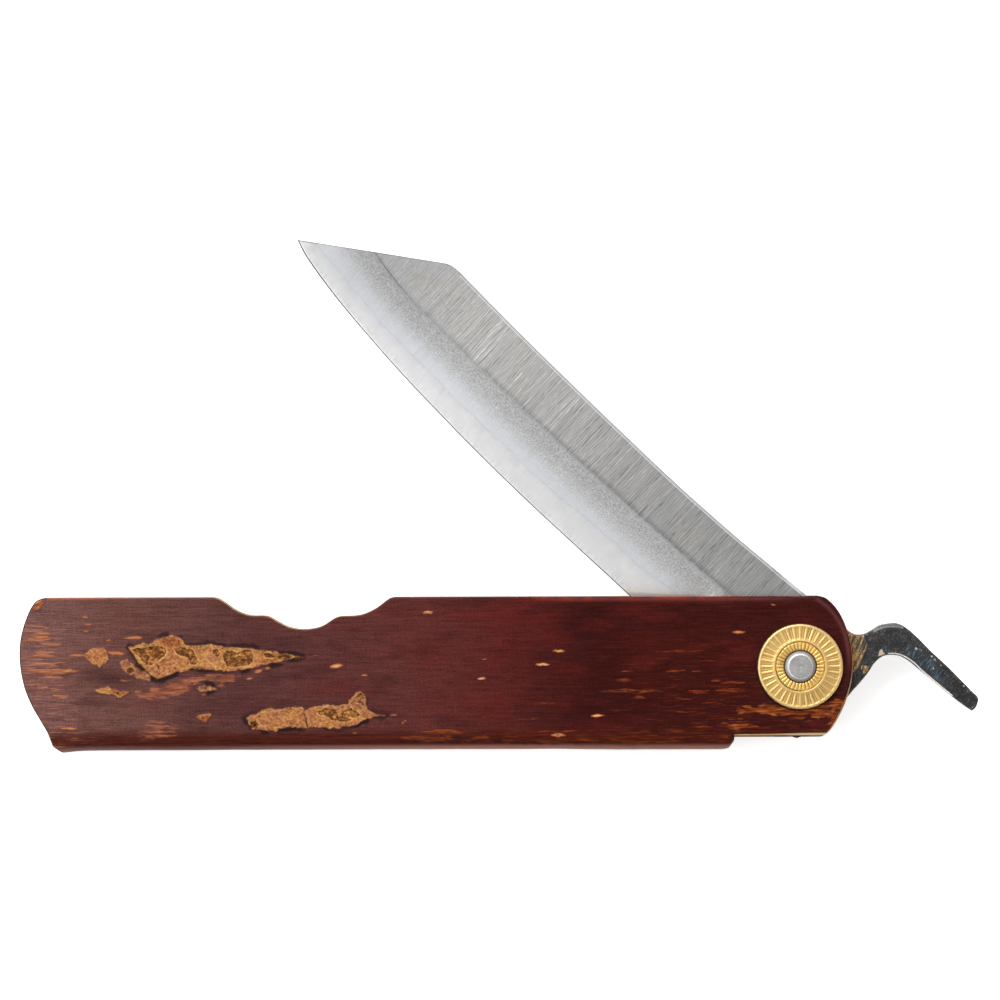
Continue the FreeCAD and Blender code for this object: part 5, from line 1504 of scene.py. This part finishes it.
def washer_material():
    m = Mat("brass_fluted")
    obj = m.coords()
    ring, dip, bed, crest = m.attr("ring"), m.attr("dip"), m.attr("bed"), m.attr("crest")
    n1 = m.noise(m.scaled(obj, 700, 700, 700), 1.0, 3, .6)
    n2 = m.noise(m.scaled(obj, 3200, 3200, 3200), 1.0, 2, .6)
    n3 = m.noise(m.scaled(obj, 260, 260, 260), 1.0, 2, .5)
    col = m.ramp(m.add(m.mul(n1, .6), m.mul(n3, .4)), [(.3, lin(218, 178, 108)), (.5, lin(231, 192, 122)), (.7, lin(240, 205, 140))])
    # painted highlight: the rounded outer rim is paler
    col = m.mix(m.span(ring, 5.02, 5.25, 0, .55), col, lin(246, 216, 152))
    # painted shade in the recessed panels and painted highlight on the crests between them
    col = m.mix(m.mul(bed, .60), col, lin(214, 174, 106))
    col = m.mix(m.mul(crest, .55), col, lin(236, 199, 126))
    col = m.mix(m.span(ring, 3.20, 3.12, 0, .60), col, lin(234, 188, 100))
    # painted shade in the hatch lines and between the teeth
    groove_shade = m.mul(m.span(dip, .15, .95), m.span(n2, .3, .6, .55, 1))
    col = m.mix(m.mul(groove_shade, .86), col, lin(124, 92, 42))
    # painted shade in the groove at the step
    step = m.span(m.math("ABSOLUTE", m.add(ring, -3.14)), .05, .11, 1, 0)
    col = m.mix(m.mul(m.mul(step, m.span(n1, .36, .6, .45, 1)), .80), col, lin(112, 74, 30))
    # painted highlight on the raised ring
    ease = m.mul(m.span(m.math("ABSOLUTE", m.add(ring, -3.36)), .04, .13, 1, 0), .45)
    col = m.mix(ease, col, lin(244, 210, 138))
    # painted shade round the rivet head
    hub = m.span(ring, 2.14, 2.05)
    col = m.mix(m.mul(hub, .75), col, lin(84, 56, 26))
    spots = m.span(m.noise(m.scaled(obj, 1100, 1100, 1100), 1.0, 2, .5), .66, .72)
    col = m.mix(m.mul(spots, .40), col, lin(150, 104, 44))
    m.set(Base_Color=col, Metallic=1.0)
    m.set(Roughness=m.span(n2, .3, .7, .36, .52, smooth=False))
    m.bump(m.add(n1, m.mul(n2, .4)), .25, 0.00002)
    return m.m


def rivet_material():
    m = Mat("rivet_steel_peened")
    obj = m.coords()
    rad = m.attr("rad")
    n1 = m.noise(m.scaled(obj, 900, 900, 900), 1.0, 4, .6)
    n2 = m.noise(m.scaled(obj, 4200, 4200, 4200), 1.0, 2, .6)
    n3 = m.noise(m.scaled(obj, 420, 420, 420), 1.0, 2, .5)
    col = m.ramp(m.add(m.mul(n1, .7), m.mul(n2, .3)), [(.32, lin(160, 158, 156)), (.5, lin(182, 180, 178)), (.68, lin(198, 196, 194))])
    # painted highlight: a pale ring on the rounded shoulder of the head
    ring = m.span(m.math("ABSOLUTE", m.add(rad, -1.56)), .04, .15, 1, 0)
    col = m.mix(m.mul(ring, m.span(n3, .35, .62, .35, .85)), col, lin(226, 226, 227))
    line = m.span(m.math("ABSOLUTE", m.add(rad, -1.40)), .02, .07, 1, 0)
    col = m.mix(m.mul(line, m.span(n3, .38, .58, .15, .55)), col, lin(134, 132, 134))
    # painted reflection: bluish grey on the steep outer shoulder; painted shade at the head's edge against the washer
    outer = m.span(rad, 1.66, 1.84)
    col = m.mix(m.mul(outer, .60), col, lin(176, 176, 188))
    col = m.mix(m.mul(m.span(rad, 1.93, 2.02), .75), col, lin(84, 78, 80))
    m.set(Base_Color=col, Metallic=1.0)
    m.set(Roughness=m.add(m.span(n2, .3, .7, .32, .46, smooth=False), m.mul(m.span(rad, 1.38, 1.52), .24)))
    m.bump(m.add(n1, m.mul(n2, .5)), .35, 0.00002)
    return m.m


def channel_material():
    m = Mat("brass_sheet_aged")
    obj = m.coords()
    n1 = m.noise(m.scaled(obj, 260, 260, 260), 1.0, 4, .6)
    n2 = m.noise(m.scaled(obj, 2400, 500, 2400), 1.0, 3, .6)
    col = m.ramp(n1, [(.3, lin(168, 126, 62)), (.5, lin(204, 162, 90)), (.7, lin(226, 190, 122))])
    spots = m.span(m.noise(m.scaled(obj, 900, 900, 900), 1.0, 3, .6), .58, .70)
    col = m.mix(m.mul(spots, .45), col, lin(108, 74, 36))
    col = m.shade(col, m.span(n2, .3, .7, .88, 1.12, smooth=False))
    pos = m.t.nodes.new("ShaderNodeSeparateXYZ")
    m.put(pos.inputs[0], obj)
    # cut edges: dull along the top; at the lower end a cream painted highlight broken up by noise, a browner band below
    # it, and two painted shadow spots
    col = m.mix(m.mul(m.span(pos.outputs[1], .0086, .0089), .7), col, lin(128, 118, 108))
    glint_breakup = m.noise(m.scaled(obj, 170, 20, 20), 1.0, 2, .5)
    cut = m.span(pos.outputs[1], -.00855, -.0087)
    col = m.mix(m.mul(m.mul(cut, m.span(pos.outputs[1], -.00904, -.00884)), m.span(glint_breakup, .38, .55, .40, .85)), col, lin(244, 220, 178))
    col = m.mix(m.mul(m.span(pos.outputs[1], -.00879, -.00889), .80), col, lin(128, 90, 52))
    # painted shadow: two dark spots on the lower cut edge
    near = m.math("MAXIMUM", m.span(m.math("ABSOLUTE", m.add(pos.outputs[0], .00245)), .0012, .0006),
                  m.span(m.math("ABSOLUTE", pos.outputs[0]), .0013, .0008))
    col = m.mix(m.mul(m.span(pos.outputs[1], -.00886, -.00900), near), col, lin(46, 33, 23))
    m.set(Base_Color=col, Metallic=1.0)
    m.set(Roughness=m.span(n2, .3, .7, .28, .46, smooth=False))
    m.bump(n2, .3, 0.00003)
    return m.m


def floor_material():
    m = Mat("floor_pale")
    obj = m.coords()
    n = m.noise(m.scaled(obj, 40, 40, 40), 1.0, 3, .5)
    m.set(Base_Color=m.ramp(n, [(.3, (.955, .955, .955, 1)), (.7, (.975, .975, .975, 1))]))
    m.set(Roughness=0.9)
    m.set(Emission_Color=(1, 1, 1, 1), Emission_Strength=0.55)
    return m.m


# ------------------------------------------------------------------ assembly

bark = build_bark()
bark.data.materials.append(bark_material())
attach(bark, "handle")
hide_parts("bark_wrap")

forging, core = build_forging()
forging.data.materials.append(iron_material())
core.data.materials.append(core_material())
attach(forging, "blade")
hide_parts("blade_body")
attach(core, "blade")
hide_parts("blade_edge_core")

wm = washer_material()
for nm, node, z0, up in (("washer_fluted_front", "washer_front", MID_Z + FACE, 1), ("washer_fluted_back", "washer_back", MID_Z - FACE, -1)):
    w = build_washer(nm, z0, up)
    w.data.materials.append(wm)
    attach(w, "handle")
    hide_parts(node)

rivet = build_rivet()
rivet.data.materials.append(rivet_material())
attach(rivet, "handle")
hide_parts("pivot_rivet")

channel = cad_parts["handle_channel"]
cm = channel_material()
if channel.material_slots:
    for s in channel.material_slots:
        s.material = cm
else:
    channel.data.materials.append(cm)

# ------------------------------------------------------------------ floor, light, camera

bm = bmesh.new()
bmesh.ops.create_grid(bm, x_segments=4, y_segments=4, size=3.0)
fme = bpy.data.meshes.new("floor")
bm.to_mesh(fme)
bm.free()
floor = bpy.data.objects.new("floor", fme)
bpy.context.scene.collection.objects.link(floor)
floor.location = (0, 0, -0.0002)
fme.materials.append(floor_material())

scene = bpy.context.scene
scene.view_settings.view_transform = "Standard"
scene.view_settings.look = "None"
world = bpy.data.worlds.new("studio")
scene.world = world
world.use_nodes = True
wt = world.node_tree
bg = wt.nodes["Background"]
sky = wt.nodes.new("ShaderNodeTexCoord")
tilt = wt.nodes.new("ShaderNodeVectorMath")
tilt.operation = "DOT_PRODUCT"
tilt.inputs[1].default_value = (-0.10, 0.22, 0.97)
wt.links.new(sky.outputs["Generated"], tilt.inputs[0])
dome = wt.nodes.new("ShaderNodeMapRange")
for key, val in (("From Min", -0.2), ("From Max", 1.0), ("To Min", 0.30), ("To Max", 0.70)):
    dome.inputs[key].default_value = val
wt.links.new(tilt.outputs["Value"], dome.inputs["Value"])
wt.links.new(dome.outputs[0], bg.inputs["Strength"])
bg.inputs["Color"].default_value = (1, 1, 1, 1)


def area(name, loc, target, size, power):
    l = bpy.data.lights.new(name, "AREA")
    l.shape = "RECTANGLE"
    l.size, l.size_y = size
    l.energy = power
    o = bpy.data.objects.new(name, l)
    o.location = loc
    o.rotation_euler = (Vector(target) - Vector(loc)).to_track_quat("-Z", "Y").to_euler()
    scene.collection.objects.link(o)
    return o


area("key_top", (-0.30, 0.50, 0.62), (-0.04, 0.01, 0), (0.6, 0.4), 5.6)
area("fill_left", (-0.65, -0.10, 0.45), (-0.04, 0.01, 0), (0.4, 0.5), 1.8)

cam_d = bpy.data.cameras.new("camera")
cam_d.sensor_width = 36.0
DIST = 0.900
cam_d.lens = 36.0 * DIST / 0.1285
cam_d.clip_end = 20.0
cam_d.dof.use_dof = False
cam = bpy.data.objects.new("camera", cam_d)
cx, cy = from_grid(499.5, 499.5)
cam.location = (cx * MM, cy * MM, (MID_Z + FACE) * MM + DIST)
cam.rotation_euler = (0, 0, -TURN)
scene.collection.objects.link(cam)
scene.camera = cam
